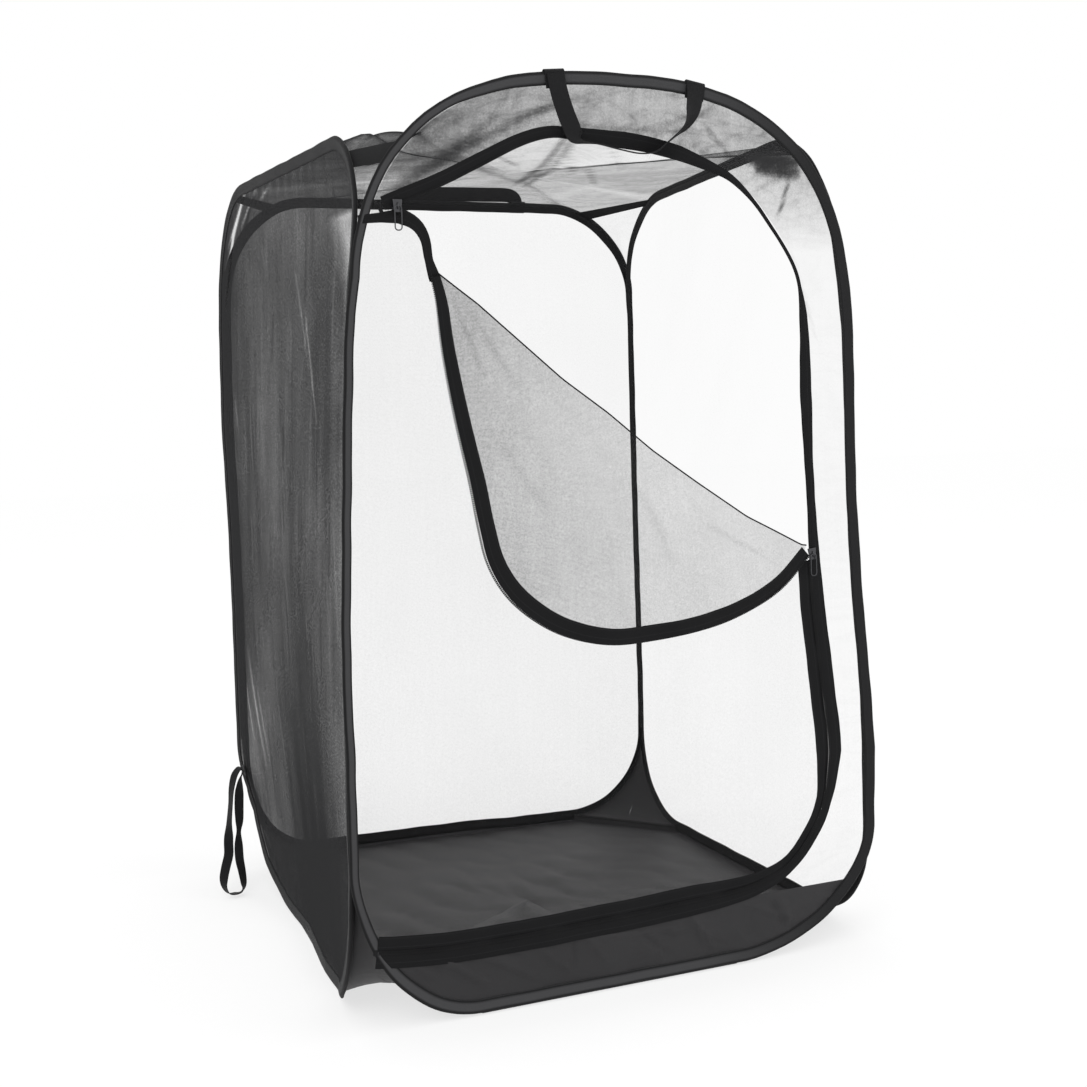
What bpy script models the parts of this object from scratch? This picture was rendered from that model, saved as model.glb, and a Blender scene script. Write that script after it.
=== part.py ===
"""Pop-up mesh insect cage: four spring hoops in cloth sleeves, net walls and roof, a solid floor
and a zip door whose upper corner hangs folded down. Metres, +Z up, the front faces -Y."""
import math

import bmesh
import bpy
from mathutils import Matrix, Vector

# Overall sizes
CAGE_MIDDLE = (0.020181, 0.003366)  # from the origin, under the middle of everything that shows
CAGE_WIDTH = 0.612  # between the middles of the two side walls
CAGE_DEPTH = 0.590  # between the middles of the front and back walls
FRONT_HEIGHT = 0.964  # ground to the top of the front hoop's sleeve
BACK_HEIGHT = 0.906
LEFT_HEIGHT = 0.902
RIGHT_HEIGHT = 0.919
RIGHT_LEAN = 0.012  # how much higher the right hoop's front top is than its middle

# Sleeves, spring wire and cloth
SLEEVE_WIDTH = 0.014
SLEEVE_THICKNESS = 0.0046
SLEEVE_WALL = 0.0008
LIP_GAP = 0.0008  # each lip's distance from the middle of the wall
WIRE_DIAMETER = 0.0024
WIRE_END_GAP = 0.0010
NET_THICKNESS = 0.0010
FLOOR_THICKNESS = 0.0012
FLOOR_CLEARANCE = 0.0008  # between the floor and the sleeves above it
GAP = 0.0003  # between neighbours that touch

# Rounded corners of the hoops: width and height
FRONT_TOP_FLAT = 0.0044  # half the level stretch between the front's two top corners
FRONT_TOP_RISE = 0.310
FRONT_LOW_LEFT = (0.125, 0.160)
FRONT_LOW_RIGHT = (0.160, 0.165)
BACK_TOP = (0.115, 0.120)
BACK_LOW = (0.105, 0.110)
LEFT_TOP_BACK = (0.125, 0.120)
LEFT_TOP_FRONT = (0.085, 0.100)
LEFT_LOW_BACK = (0.230, 0.200)
LEFT_LOW_FRONT = (0.110, 0.150)
RIGHT_TOP = (0.120, 0.130)
RIGHT_LOW = (0.115, 0.120)
FRONT_TOP_POWER = 2.6  # 2 is an ellipse, more is squarer
TOP_POWER = 1.9
ROUND_POWER = 2.0
LOW_POWER = 2.1
CORNER_STEPS = 9

# Roof and corner cloth: how far each corner tape is from the post along its two hoops
FRONT_RIGHT_REACH = (0.062, 0.058)
RIGHT_BACK_REACH = (0.087, 0.070)
BACK_LEFT_REACH = (0.070, 0.087)
LEFT_FRONT_REACH = (0.030, 0.060)
ROOF_MIDDLE = 0.902  # height of the roof's middle
ROOF_POWER = 1.4
ROOF_RING_SHARES = (0.3, 0.65, 1.0)
ROOF_EDGE_STEPS = 10
SEAM_TAPE_WIDTH = 0.016
SEAM_TAPE_THICKNESS = 0.0014
SEAM_GAP = 0.0010
SEAM_STEPS = 4
GUSSET_STEPS = 7
GUSSET_INSET = 0.0007  # from the sleeve's inner face to the middle of a sewn edge
GUSSET_FOOT = 0.0021  # height of the floor corners' lowest edge

# Zip: points of the line of its teeth as shares of the front's half width and of its height
ZIP_START_SHARE = -0.8738192
ZIP_END_SHARES = (-0.8029690, 0.8578838)
ZIP_CROWN_SHARES = (-0.1686910, 0.9263485)
ZIP_SHOULDER_SHARES = (0.7709177, 0.6224066)
ZIP_KNEE_SHARES = (0.7928475, 0.4636929)
ZIP_LOW_CORNER_SHARES = (0.8653846, 0.2126556)
ZIP_BOTTOM = 0.0885
ZIP_CORNER_REACH = 0.120
ZIP_CORNER_POWER = 2.0
ZIP_TOP_POWER = 2.7
ZIP_FALL_POWER = 1.4
ZIP_CORNER_STEPS = 8
ZIP_TOP_STEPS = 12
ZIP_FALL_STEPS = 5
ZIP_TAPE_WIDTH = 0.0125
ZIP_TAPE_THICKNESS = 0.0008
CHAIN_WIDTH = 0.0046
CHAIN_THICKNESS = 0.0016
CHAIN_SPLIT = 0.0002  # between an opened zip's half chain and the line of its teeth
NET_INSET = 0.0060  # from the line of the teeth to the net's edge
SEAM_DROP = 0.015  # from the zip's upper end down to where the door's net meets the net above it
SILL_END_BEYOND = 0.005  # from the zip's low end out to the end of its slot
STOP_SIZE = (0.0040, 0.0060, 0.0016)

# Door corner that hangs down in front: its fold as shares of the front, its edge as shares of
# the fold and the depth
FOLD_START_SHARES = (-0.6713900, 0.7831950)
FOLD_END_SHARES = (0.7473009, 0.4797718)
FLAP_DEPTH_SHARE = 0.4369157  # of the fold's length
FLAP_NET_SHARES = (
    (0.00, 0.02), (0.04, 0.102), (0.100, 0.257), (0.190, 0.460), (0.288, 0.666), (0.350, 0.806),
    (0.407, 0.918), (0.476, 0.985), (0.558, 1.000), (0.628, 0.975), (0.702, 0.909),
    (0.767, 0.808), (0.856, 0.637), (0.923, 0.469), (0.979, 0.257), (1.000, 0.080),
)
FLAP_TAPE_START = 1  # the first point of the edge that carries tape
DROOP_REACH = 0.060  # how far left of the fold the door's free edge starts
DROOP_SHARES = ((0, 0), (0.25, 0), (0.6166667, 0.1052632), (0.8666667, 0.3859649), (0.9666667, 0.7719298))

# Zip sliders and their wire pulls
SLIDER_SIZE = (0.0100, 0.0130, 0.0030)
SLIDER_TAPER_SHARE = 0.7
UPPER_SLIDER_INSET = (0.0050, 0.0018)  # from the zip's upper end
LUG_REACH = 0.0020
LUG_SECTION = (0.0030, 0.0010)
LUG_SINK = 0.0006
LUG_STEPS = 8
PULL_SIZE = (0.0070, 0.0240)
PULL_WIRE = 0.0013
PULL_ROUND = 0.0030
PULL_STEPS = 3

# Handles and strap
WEBBING_WIDTH = 0.020
WEBBING_THICKNESS = 0.0012
TAB_DROP = 0.019
TAB_INNER_DROP = 0.005
TAB_CLEARANCE = 0.0008
TAB_WIDTH = 0.023
FRONT_TABS = (-0.060, 0.096)
REAR_TABS = (-0.129, 0.045)
FRONT_HANDLE_DROP = 0.074
REAR_HANDLE_RISE = 0.024
FRONT_HANDLE_SHARES = (
    (0.00, 0.00, 0.00), (0.02, 0.18, 0.00), (0.05, 0.40, 0.04), (0.11, 0.62, 0.20),
    (0.20, 0.80, 0.50), (0.32, 0.92, 0.80), (0.45, 0.98, 0.95), (0.57, 1.00, 1.00),
    (0.69, 0.95, 0.95), (0.80, 0.82, 0.80), (0.89, 0.62, 0.50), (0.95, 0.40, 0.20),
    (0.98, 0.20, 0.04), (1.00, 0.00, 0.00),
)
REAR_HANDLE_SHARES = (
    (0.00, 0.00, 0.00), (0.02, 0.35, 0.00), (0.07, 0.64, 0.15), (0.16, 0.84, 0.35),
    (0.30, 0.96, 0.50), (0.50, 1.00, 0.55), (0.70, 0.96, 0.50), (0.84, 0.84, 0.35),
    (0.93, 0.64, 0.15), (0.98, 0.35, 0.00), (1.00, 0.00, 0.00),
)
HANDLE_STAND = 0.0105  # how far a turned handle stands out beyond its ends
STRAP_LENGTH = 0.150
STRAP_WIDTH = 0.012
STRAP_START = -0.262  # along the left wall, seen from outside
STRAP_TAB = (0.016, 0.014, 0.0012)
STRAP_TAB_HEIGHT = 0.143
STRAP_PIVOT_RISE = 0.0055  # from the strap's first point up to where it swings
STRAP_SHARES = (
    (0.01, 0.950, 0.0315, 0.97), (0.04, 0.90, 0.045, 0.77), (0.09, 0.84, 0.062, 0.39),
    (0.14, 0.77, 0.072, 0.00), (0.19, 0.67, 0.074, 0.00), (0.24, 0.58, 0.074, 0.22),
    (0.28, 0.49, 0.080, 0.60), (0.33, 0.38, 0.094, 0.17), (0.38, 0.28, 0.100, 0.17),
    (0.42, 0.18, 0.090, 0.33), (0.46, 0.09, 0.088, 0.50), (0.49, 0.040, 0.111, 0.80),
    (0.51, 0.032, 0.167, 0.95), (0.50, 0.040, 0.223, 0.88), (0.48, 0.09, 0.253, 0.75),
    (0.45, 0.16, 0.252, 0.44), (0.41, 0.24, 0.225, 0.33), (0.36, 0.33, 0.188, 0.17),
    (0.32, 0.43, 0.178, 0.17), (0.26, 0.56, 0.165, 0.77), (0.18, 0.71, 0.150, 0.87),
    (0.12, 0.83, 0.140, 0.80), (0.05, 0.93, 0.110, 0.75), (0.01, 0.975, 0.064, 0.90),
)

MIDDLE = Vector((*CAGE_MIDDLE, 0))
RIGHT_ANGLE = math.pi / 2
SHARP_ANGLE = math.radians(35)
HALF_SLEEVE = SLEEVE_THICKNESS / 2
CORNER_INSET = HALF_SLEEVE + SLEEVE_WIDTH / 2 + GAP
FRONT_HALF = CAGE_WIDTH / 2 - CORNER_INSET
SIDE_HALF = CAGE_DEPTH / 2 - CORNER_INSET
HOOP_BOTTOM = FLOOR_THICKNESS + FLOOR_CLEARANCE + SLEEVE_WIDTH / 2
FRONT_TOP = (FRONT_HALF - FRONT_TOP_FLAT, FRONT_TOP_RISE)
INNER_FACE = -(HALF_SLEEVE + GAP + GUSSET_INSET)
TAPE_LEVEL = NET_THICKNESS / 2 + GAP + ZIP_TAPE_THICKNESS / 2
CHAIN_LEVEL = NET_THICKNESS / 2 + GAP + CHAIN_THICKNESS / 2
CHAIN_FRONT = CHAIN_LEVEL + CHAIN_THICKNESS / 2
FLAP_NET_LEVEL = NET_THICKNESS + GAP
FLAP_FACE = FLAP_NET_LEVEL + NET_THICKNESS / 2 + GAP
FLAP_TAPE_LEVEL = FLAP_FACE + ZIP_TAPE_THICKNESS / 2
FLAP_CHAIN_LEVEL = FLAP_FACE + CHAIN_THICKNESS / 2
TAPE_NEAR = CHAIN_WIDTH / 2 + GAP
TAPE_FAR = TAPE_NEAR + ZIP_TAPE_WIDTH
SILL_HEIGHT = ZIP_BOTTOM - NET_INSET
SLIDER_LEVEL = CHAIN_FRONT + GAP + SLIDER_SIZE[2] / 2
TAB_OUT = HALF_SLEEVE + GAP + WEBBING_THICKNESS
HANDLE_OUT = TAB_OUT + GAP + WEBBING_THICKNESS / 2


def on_front(shares):
    """A point of the front wall given as shares of its half width and its height."""
    return FRONT_HALF * shares[0], FRONT_HEIGHT * shares[1]


ZIP_START = FRONT_HALF * ZIP_START_SHARE
ZIP_END = on_front(ZIP_END_SHARES)
ZIP_CROWN = on_front(ZIP_CROWN_SHARES)
ZIP_SHOULDER = on_front(ZIP_SHOULDER_SHARES)
ZIP_KNEE = on_front(ZIP_KNEE_SHARES)
ZIP_LOW_CORNER = on_front(ZIP_LOW_CORNER_SHARES)
SEAM_HEIGHT = ZIP_END[1] - SEAM_DROP
SEAM_END = ZIP_END[0] - NET_INSET
SILL_END = ZIP_START - SILL_END_BEYOND
FOLD_START = on_front(FOLD_START_SHARES)
FOLD_END = on_front(FOLD_END_SHARES)
UPPER_SLIDER = (ZIP_END[0] + UPPER_SLIDER_INSET[0], ZIP_END[1] + UPPER_SLIDER_INSET[1])


class Hoop:
    """One wall's spring hoop, seen from outside: across is to the right, up is up."""

    def __init__(self, name, angle, distance, half, height, corners, lean=0.0):
        self.name = name
        self.half = half
        self.top = height - SLEEVE_WIDTH / 2
        self.lean = lean
        self.corners = dict(zip(("top_left", "top_right", "low_left", "low_right"), corners))
        stand = Matrix.Rotation(RIGHT_ANGLE, 4, "X")
        move = Matrix.Translation((0, -distance, 0))
        turn = Matrix.Translation(MIDDLE) @ Matrix.Rotation(angle, 4, "Z")
        self.matrix = turn @ move @ stand

    def place(self, across, up, out=0.0):
        return self.matrix @ Vector((across, up, out))

    def lift(self, across, up):
        return up + self.lean * across / self.half * (up / self.top) ** 2

    def corner_base(self, key):
        """The height where a corner's curve leaves the post."""
        height = self.corners[key][1]
        return self.top - height if key.startswith("top") else HOOP_BOTTOM + height

    def at_height(self, key, up):
        """The point of a corner's side of the hoop at a height."""
        width, height, power = self.corners[key]
        share = abs(up - self.corner_base(key)) / height
        beyond = (up > self.corner_base(key)) == key.startswith("top")
        bend = 1 - min(1.0, share) ** power if beyond else 1.0
        across = self.half - width + width * bend ** (1 / power)
        across *= 1 if key.endswith("right") else -1
        return across, self.lift(across, up)

    def reach_height(self, key, reach):
        """The height at which a corner's curve has come in from the post by a reach."""
        width, height, power = self.corners[key]
        climb = height * (1 - ((width - reach) / width) ** power) ** (1 / power)
        base = self.corner_base(key)
        return base + climb if key.startswith("top") else base - climb

    def top_at(self, across):
        """The hoop's height above a place across its top."""
        key = "top_right" if across > 0 else "top_left"
        width, height, power = self.corners[key]
        beyond = max(0.0, abs(across) - (self.half - width)) / width
        up = self.top - height + height * (1 - beyond**power) ** (1 / power)
        return self.lift(across, up)

    def line(self):
        """The hoop's closed centre line, anticlockwise from the low right corner."""
        points = []
        for key in ("low_right", "top_right", "top_left", "low_left"):
            width, height, power = self.corners[key]
            turn_x = 1 if key.endswith("right") else -1
            turn_y = 1 if key.startswith("top") else -1
            quarter = []
            for i in range(CORNER_STEPS + 1):
                angle = RIGHT_ANGLE * i / CORNER_STEPS
                x = turn_x * (self.half - width + width * math.cos(angle) ** (2 / power))
                y = self.corner_base(key) + turn_y * height * math.sin(angle) ** (2 / power)
                quarter.append((x, self.lift(x, y)))
            points += quarter if turn_x * turn_y > 0 else quarter[::-1]
        return points


FRONT = Hoop("front", 0, CAGE_DEPTH / 2, FRONT_HALF, FRONT_HEIGHT,
             ((*FRONT_TOP, FRONT_TOP_POWER), (*FRONT_TOP, FRONT_TOP_POWER),
              (*FRONT_LOW_LEFT, ROUND_POWER), (*FRONT_LOW_RIGHT, ROUND_POWER)))
RIGHT = Hoop("right", RIGHT_ANGLE, CAGE_WIDTH / 2, SIDE_HALF, RIGHT_HEIGHT,
             ((*RIGHT_TOP, TOP_POWER), (*RIGHT_TOP, TOP_POWER),
              (*RIGHT_LOW, ROUND_POWER), (*RIGHT_LOW, ROUND_POWER)), -RIGHT_LEAN)
BACK = Hoop("back", 2 * RIGHT_ANGLE, CAGE_DEPTH / 2, FRONT_HALF, BACK_HEIGHT,
            ((*BACK_TOP, TOP_POWER), (*BACK_TOP, TOP_POWER),
             (*BACK_LOW, LOW_POWER), (*BACK_LOW, LOW_POWER)))
LEFT = Hoop("left", -RIGHT_ANGLE, CAGE_WIDTH / 2, SIDE_HALF, LEFT_HEIGHT,
            ((*LEFT_TOP_BACK, TOP_POWER), (*LEFT_TOP_FRONT, ROUND_POWER),
             (*LEFT_LOW_BACK, LOW_POWER), (*LEFT_LOW_FRONT, LOW_POWER)))
HOOPS = (FRONT, RIGHT, BACK, LEFT)
CORNERS = (
    ("front_right", FRONT, RIGHT, FRONT_RIGHT_REACH),
    ("back_right", RIGHT, BACK, RIGHT_BACK_REACH),
    ("back_left", BACK, LEFT, BACK_LEFT_REACH),
    ("front_left", LEFT, FRONT, LEFT_FRONT_REACH),
)


def clear_scene():
    for item in list(bpy.data.objects):
        bpy.data.objects.remove(item, do_unlink=True)


def make_collection(name):
    collection = bpy.data.collections.new(name)
    bpy.context.scene.collection.children.link(collection)
    return collection


def make_material(name, color, roughness, metallic=0.0):
    material = bpy.data.materials.new(name)
    material.use_nodes = True
    shader = material.node_tree.nodes["Principled BSDF"]
    shader.inputs["Base Color"].default_value = (*color, 1)
    shader.inputs["Roughness"].default_value = roughness
    shader.inputs["Metallic"].default_value = metallic
    return material


clear_scene()
PARTS = make_collection("insect_cage")
CUTTERS = make_collection("cutters")
MATERIALS = {
    "net": make_material("net", (0.035, 0.035, 0.037), 0.75),
    "sleeve": make_material("sleeve", (0.012, 0.012, 0.013), 0.7),
    "floor_cloth": make_material("floor_cloth", (0.030, 0.030, 0.032), 0.55),
    "webbing": make_material("webbing", (0.012, 0.012, 0.013), 0.65),
    "zip_tape": make_material("zip_tape", (0.010, 0.010, 0.011), 0.6),
    "zip_chain": make_material("zip_chain", (0.014, 0.014, 0.015), 0.4),
    "spring_steel": make_material("spring_steel", (0.42, 0.42, 0.43), 0.35, 1.0),
    "zip_metal": make_material("zip_metal", (0.62, 0.62, 0.63), 0.3, 1.0),
}


def world_of(body):
    matrix = Matrix.Identity(4)
    while body is not None:
        matrix = body.matrix_basis @ matrix
        body = body.parent
    return matrix


def add_body(name, place, parent=None):
    """An empty on a joint's axis, which carries the pieces of that body."""
    empty = bpy.data.objects.new(name, None)
    PARTS.objects.link(empty)
    empty.parent = parent
    empty.matrix_basis = world_of(parent).inverted() @ Matrix.Translation(place)
    return empty


def add_object(name, data, material, body, matrix=None):
    """Links an object, whose data is in the given frame, to a body's empty."""
    item = bpy.data.objects.new(name, data)
    PARTS.objects.link(item)
    data.materials.append(MATERIALS[material])
    item.parent = body
    item.matrix_basis = world_of(body).inverted() @ (matrix or Matrix.Identity(4))
    return item


def post_axis(turn_x, turn_y):
    """Where the inner faces of two walls meet, at ground height."""
    x = CAGE_WIDTH / 2 - HALF_SLEEVE
    y = CAGE_DEPTH / 2 - HALF_SLEEVE
    return MIDDLE + Vector((turn_x * x, turn_y * y, 0))


def line_at(line, across):
    """The first place on a line at an across, with the line's slope there."""
    for a, b in zip(line, line[1:]):
        if min(a[0], b[0]) <= across <= max(a[0], b[0]) and a[0] != b[0]:
            slope = (b[1] - a[1]) / (b[0] - a[0])
            return (across, a[1] + slope * (across - a[0])), math.atan(slope)
    return line[-1], 0


def offset_line(line, distance, closed=False):
    """A line of points moved to its left, as it runs, by a distance."""
    moved = []
    count = len(line)
    for i, place in enumerate(line):
        before = line[i - 1] if i or closed else line[0]
        after = line[(i + 1) % count] if i < count - 1 or closed else line[-1]
        along = Vector((after[0] - before[0], after[1] - before[1])).normalized()
        moved.append((place[0] - along.y * distance, place[1] + along.x * distance))
    return moved


def strip_outline(line, near, far):
    """The closed outline of a flat strip that runs beside a line."""
    return offset_line(line, near) + offset_line(line, far)[::-1]


def clip_outline(outline, height, below):
    """The part of a closed outline on one side of a height."""
    kept = []
    for a, b in zip(outline, outline[1:] + outline[:1]):
        a_in = (a[1] < height) == below
        b_in = (b[1] < height) == below
        if a_in:
            kept.append(a)
        if a_in != b_in:
            share = (height - a[1]) / (b[1] - a[1])
            kept.append((a[0] + (b[0] - a[0]) * share, height))
    return kept


def flat_piece(name, outline, thickness, out, material, body, hoop=FRONT):
    """A flat outline in a wall's plane, its middle at the height out from the wall."""
    curve = bpy.data.curves.new(name, "CURVE")
    curve.dimensions = "2D"
    curve.fill_mode = "BOTH"
    curve.extrude = thickness / 2
    spline = curve.splines.new("POLY")
    spline.points.add(len(outline) - 1)
    for point, place in zip(spline.points, outline):
        point.co = (*place, 0, 1)
    spline.use_cyclic_u = True
    return add_object(name, curve, material, body, hoop.matrix @ Matrix.Translation((0, 0, out)))


def round_wire(name, places, diameter, closed, material, body, matrix):
    curve = bpy.data.curves.new(name, "CURVE")
    curve.dimensions = "3D"
    spline = curve.splines.new("POLY")
    spline.points.add(len(places) - 1)
    for point, place in zip(spline.points, places):
        point.co = (*place, 1)
    spline.use_cyclic_u = closed
    curve.bevel_depth = diameter / 2
    curve.bevel_resolution = 1
    curve.use_fill_caps = True
    return add_object(name, curve, material, body, matrix)


def mesh_from(name, bm, smooth=True):
    bmesh.ops.recalc_face_normals(bm, faces=bm.faces)
    mesh = bpy.data.meshes.new(name)
    bm.to_mesh(mesh)
    bm.free()
    if smooth:
        mesh.shade_smooth()
        mesh.set_sharp_from_angle(angle=SHARP_ANGLE)
    return mesh


def skin(bm, rings, ring_closed, run_closed):
    """Quads between each ring of vertices and the next."""
    pairs = list(zip(rings, rings[1:]))
    if run_closed:
        pairs.append((rings[-1], rings[0]))
    for ring, following in pairs:
        for i in range(len(ring) if ring_closed else len(ring) - 1):
            j = (i + 1) % len(ring)
            bm.faces.new((ring[i], ring[j], following[j], following[i]))


def sheet(name, rows, thickness, material, body, closed=False, middle=None):
    """A curved sheet through rows of points, thickened on both sides."""
    bm = bmesh.new()
    rings = [[bm.verts.new(point) for point in row] for row in rows]
    skin(bm, rings, closed, False)
    if middle is not None:
        centre = bm.verts.new(middle)
        for a, b in zip(rings[0], rings[0][1:] + rings[0][:1]):
            bm.faces.new((centre, a, b))
    item = add_object(name, mesh_from(name, bm), material, body)
    modifier = item.modifiers.new("thickness", "SOLIDIFY")
    modifier.thickness = thickness
    modifier.offset = 0
    modifier.use_even_offset = True
    return item


def ribbon(name, places, wides, width, material, body, hoop, closed=False):
    """A flat strap along a path, turned so that its width follows a direction at each point."""
    bm = bmesh.new()
    rings = []
    count = len(places)
    for i, (place, wide) in enumerate(zip(places, wides)):
        before = places[i - 1] if i or closed else places[0]
        after = places[(i + 1) % count] if i < count - 1 or closed else places[-1]
        along = (after - before).normalized()
        side = wide.normalized() * width / 2
        thick = along.cross(side).normalized() * WEBBING_THICKNESS / 2
        corners = (side + thick, -side + thick, -side - thick, side - thick)
        rings.append([bm.verts.new(place + corner) for corner in corners])
    skin(bm, rings, True, closed)
    if not closed:
        bm.faces.new(rings[0])
        bm.faces.new(rings[-1])
    bmesh.ops.triangulate(bm, faces=bm.faces)
    return add_object(name, mesh_from(name, bm, False), material, body, hoop.matrix)


def sweep(name, line, section, material, body, matrix):
    """A closed ring of a section along a closed flat line: pairs of outward and out."""
    bm = bmesh.new()
    count = len(line)
    rings = []
    for i, place in enumerate(line):
        along = Vector(line[(i + 1) % count]) - Vector(line[i - 1])
        outward = Vector((along.y, -along.x)).normalized()
        ring = []
        for wide, out in section:
            ring.append(bm.verts.new((place[0] + outward.x * wide, place[1] + outward.y * wide, out)))
        rings.append(ring)
    skin(bm, rings, True, True)
    return add_object(name, mesh_from(name, bm), material, body, matrix)


# Bodies
BODY_BACK = add_body("body_back_wall", (0, 0, 0))
BODY_LEFT = add_body("body_left_wall", post_axis(-1, 1), BODY_BACK)
BODY_RIGHT = add_body("body_right_wall", post_axis(1, 1), BODY_BACK)
BODY_FRONT = add_body("body_front_wall", post_axis(-1, -1), BODY_LEFT)
BODY_FLAP = add_body(
    "body_door_corner", FRONT.place(*FOLD_START, FLAP_NET_LEVEL / 2), BODY_FRONT)
WALL_BODIES = {"front": BODY_FRONT, "right": BODY_RIGHT, "back": BODY_BACK, "left": BODY_LEFT}


# Hoops
def sleeve_section():
    """The folded tape's cross-section, open where the net goes in between its lips."""
    wide = SLEEVE_WIDTH / 2
    thick = HALF_SLEEVE
    cavity = thick - SLEEVE_WALL
    outer = [(-wide, LIP_GAP + SLEEVE_WALL), (thick - wide, thick), (wide - thick, thick), (wide, 0)]
    inner = [(wide - SLEEVE_WALL, 0), (wide - thick, cavity), (thick - wide, cavity), (-wide, LIP_GAP)]
    mirrored = [(x, -y) for x, y in outer[-2::-1]] + [(x, -y) for x, y in inner[:0:-1]]
    return outer + mirrored + inner


def build_hoops():
    section = sleeve_section()
    for hoop in HOOPS:
        body = WALL_BODIES[hoop.name]
        line = hoop.line()
        sweep(f"sleeve_{hoop.name}", line, section, "sleeve", body, hoop.matrix)
        middle = (line[-1][0] + line[0][0]) / 2
        end = WIRE_END_GAP / 2
        flat = [(middle + end, HOOP_BOTTOM)] + line + [(middle - end, HOOP_BOTTOM)]
        places = [(x, y, 0) for x, y in flat]
        round_wire(f"hoop_wire_{hoop.name}", places, WIRE_DIAMETER, False, "spring_steel", body,
                   hoop.matrix)


# Walls
def panel_line(hoop):
    """The edge of a wall's net, held between the sleeve's lips."""
    return offset_line(hoop.line(), SLEEVE_WIDTH / 4, closed=True)


def build_walls():
    for hoop in (RIGHT, BACK, LEFT):
        flat_piece(f"net_{hoop.name}", panel_line(hoop), NET_THICKNESS, 0, "net",
                   WALL_BODIES[hoop.name], hoop)


def zip_closed():
    """The line of teeth that is zipped up: along the bottom and up the right side."""
    reach, power = ZIP_CORNER_REACH, ZIP_CORNER_POWER
    right, top = ZIP_LOW_CORNER
    rise = top - ZIP_BOTTOM
    corner = []
    for i in range(ZIP_CORNER_STEPS + 1):
        angle = RIGHT_ANGLE * i / ZIP_CORNER_STEPS
        x = right - reach + reach * math.sin(angle) ** (2 / power)
        y = top - rise * math.cos(angle) ** (2 / power)
        corner.append((x, y))
    middle = (ZIP_START + corner[0][0]) / 2
    return [(ZIP_START, ZIP_BOTTOM), (middle, ZIP_BOTTOM)] + corner + [ZIP_KNEE]


def zip_open():
    """The line of teeth above the lower slider, over the top to the upper left end."""
    width = ZIP_SHOULDER[0] - ZIP_CROWN[0]
    height = ZIP_CROWN[1] - ZIP_SHOULDER[1]
    points = [ZIP_KNEE]
    for i in range(ZIP_TOP_STEPS + 1):
        angle = RIGHT_ANGLE * i / ZIP_TOP_STEPS
        x = ZIP_CROWN[0] + width * math.cos(angle) ** (2 / ZIP_TOP_POWER)
        y = ZIP_SHOULDER[1] + height * math.sin(angle) ** (2 / ZIP_TOP_POWER)
        points.append((x, y))
    for i in range(1, ZIP_FALL_STEPS + 1):
        share = i / ZIP_FALL_STEPS
        x = ZIP_CROWN[0] + (ZIP_END[0] - ZIP_CROWN[0]) * share
        y = ZIP_CROWN[1] + (ZIP_END[1] - ZIP_CROWN[1]) * share**ZIP_FALL_POWER
        points.append((x, y))
    return points


def droop_line():
    """The door's free edge between the seam and the fold."""
    start = FOLD_START[0] - DROOP_REACH
    fall = SEAM_HEIGHT - FOLD_START[1]
    return [(start + DROOP_REACH * x, SEAM_HEIGHT - fall * y) for x, y in DROOP_SHARES]


def build_front_nets():
    outer = panel_line(FRONT)
    flat_piece("sill_strip", clip_outline(outer, SILL_HEIGHT, True), NET_THICKNESS, 0,
               "floor_cloth", BODY_FRONT)
    low = SILL_HEIGHT + GAP
    above = clip_outline(outer, low, False)
    right_run = [point for point in above if point[0] >= 0]
    left_top = [point for point in clip_outline(above, SEAM_HEIGHT + GAP, False) if point[0] < 0]
    edge = offset_line((zip_closed() + zip_open()[1:]), -NET_INSET)
    edge = [point for point in edge if point[1] > low + GAP]
    surround = right_run + left_top + [(SEAM_END, SEAM_HEIGHT + GAP)] + edge[::-1]
    surround.append((edge[0][0], low))
    flat_piece("net_surround", surround, NET_THICKNESS, 0, "net", BODY_FRONT)
    left_side = [point for point in clip_outline(above, SEAM_HEIGHT, True) if point[0] < 0]
    door_low = ZIP_BOTTOM + NET_INSET
    zip_side = offset_line(zip_closed(), NET_INSET)[1:]
    door = left_side + [(SILL_END, low), (SILL_END, door_low)] + zip_side
    door += [FOLD_END, FOLD_START] + droop_line()[:0:-1]
    flat_piece("net_door", door, NET_THICKNESS, 0, "net", BODY_FRONT)


def build_zip():
    closed = zip_closed()
    opened = zip_open()
    whole = closed + opened[1:]
    half = CHAIN_WIDTH / 2
    flat_piece("zip_tape_frame", strip_outline(whole, -TAPE_NEAR, -TAPE_FAR), ZIP_TAPE_THICKNESS,
               TAPE_LEVEL, "zip_tape", BODY_FRONT)
    flat_piece("zip_tape_door", strip_outline(closed, TAPE_NEAR, TAPE_FAR), ZIP_TAPE_THICKNESS,
               TAPE_LEVEL, "zip_tape", BODY_FRONT)
    flat_piece("zip_tape_door_top", strip_outline(droop_line(), -ZIP_TAPE_WIDTH / 2, ZIP_TAPE_WIDTH / 2),
               ZIP_TAPE_THICKNESS, TAPE_LEVEL, "zip_tape", BODY_FRONT)
    flat_piece("zip_chain_closed", strip_outline(closed, -half, half), CHAIN_THICKNESS,
               CHAIN_LEVEL, "zip_chain", BODY_FRONT)
    start = Vector(opened[0]) + (Vector(opened[1]) - Vector(opened[0])).normalized() * GAP
    opened[0] = tuple(start)
    flat_piece("zip_chain_frame", strip_outline(opened, -half, -CHAIN_SPLIT), CHAIN_THICKNESS,
               CHAIN_LEVEL, "zip_chain", BODY_FRONT)
    build_stop("zip_stop_low", closed[0], closed[1])
    build_stop("zip_stop_top", opened[-1], opened[-2])


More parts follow.
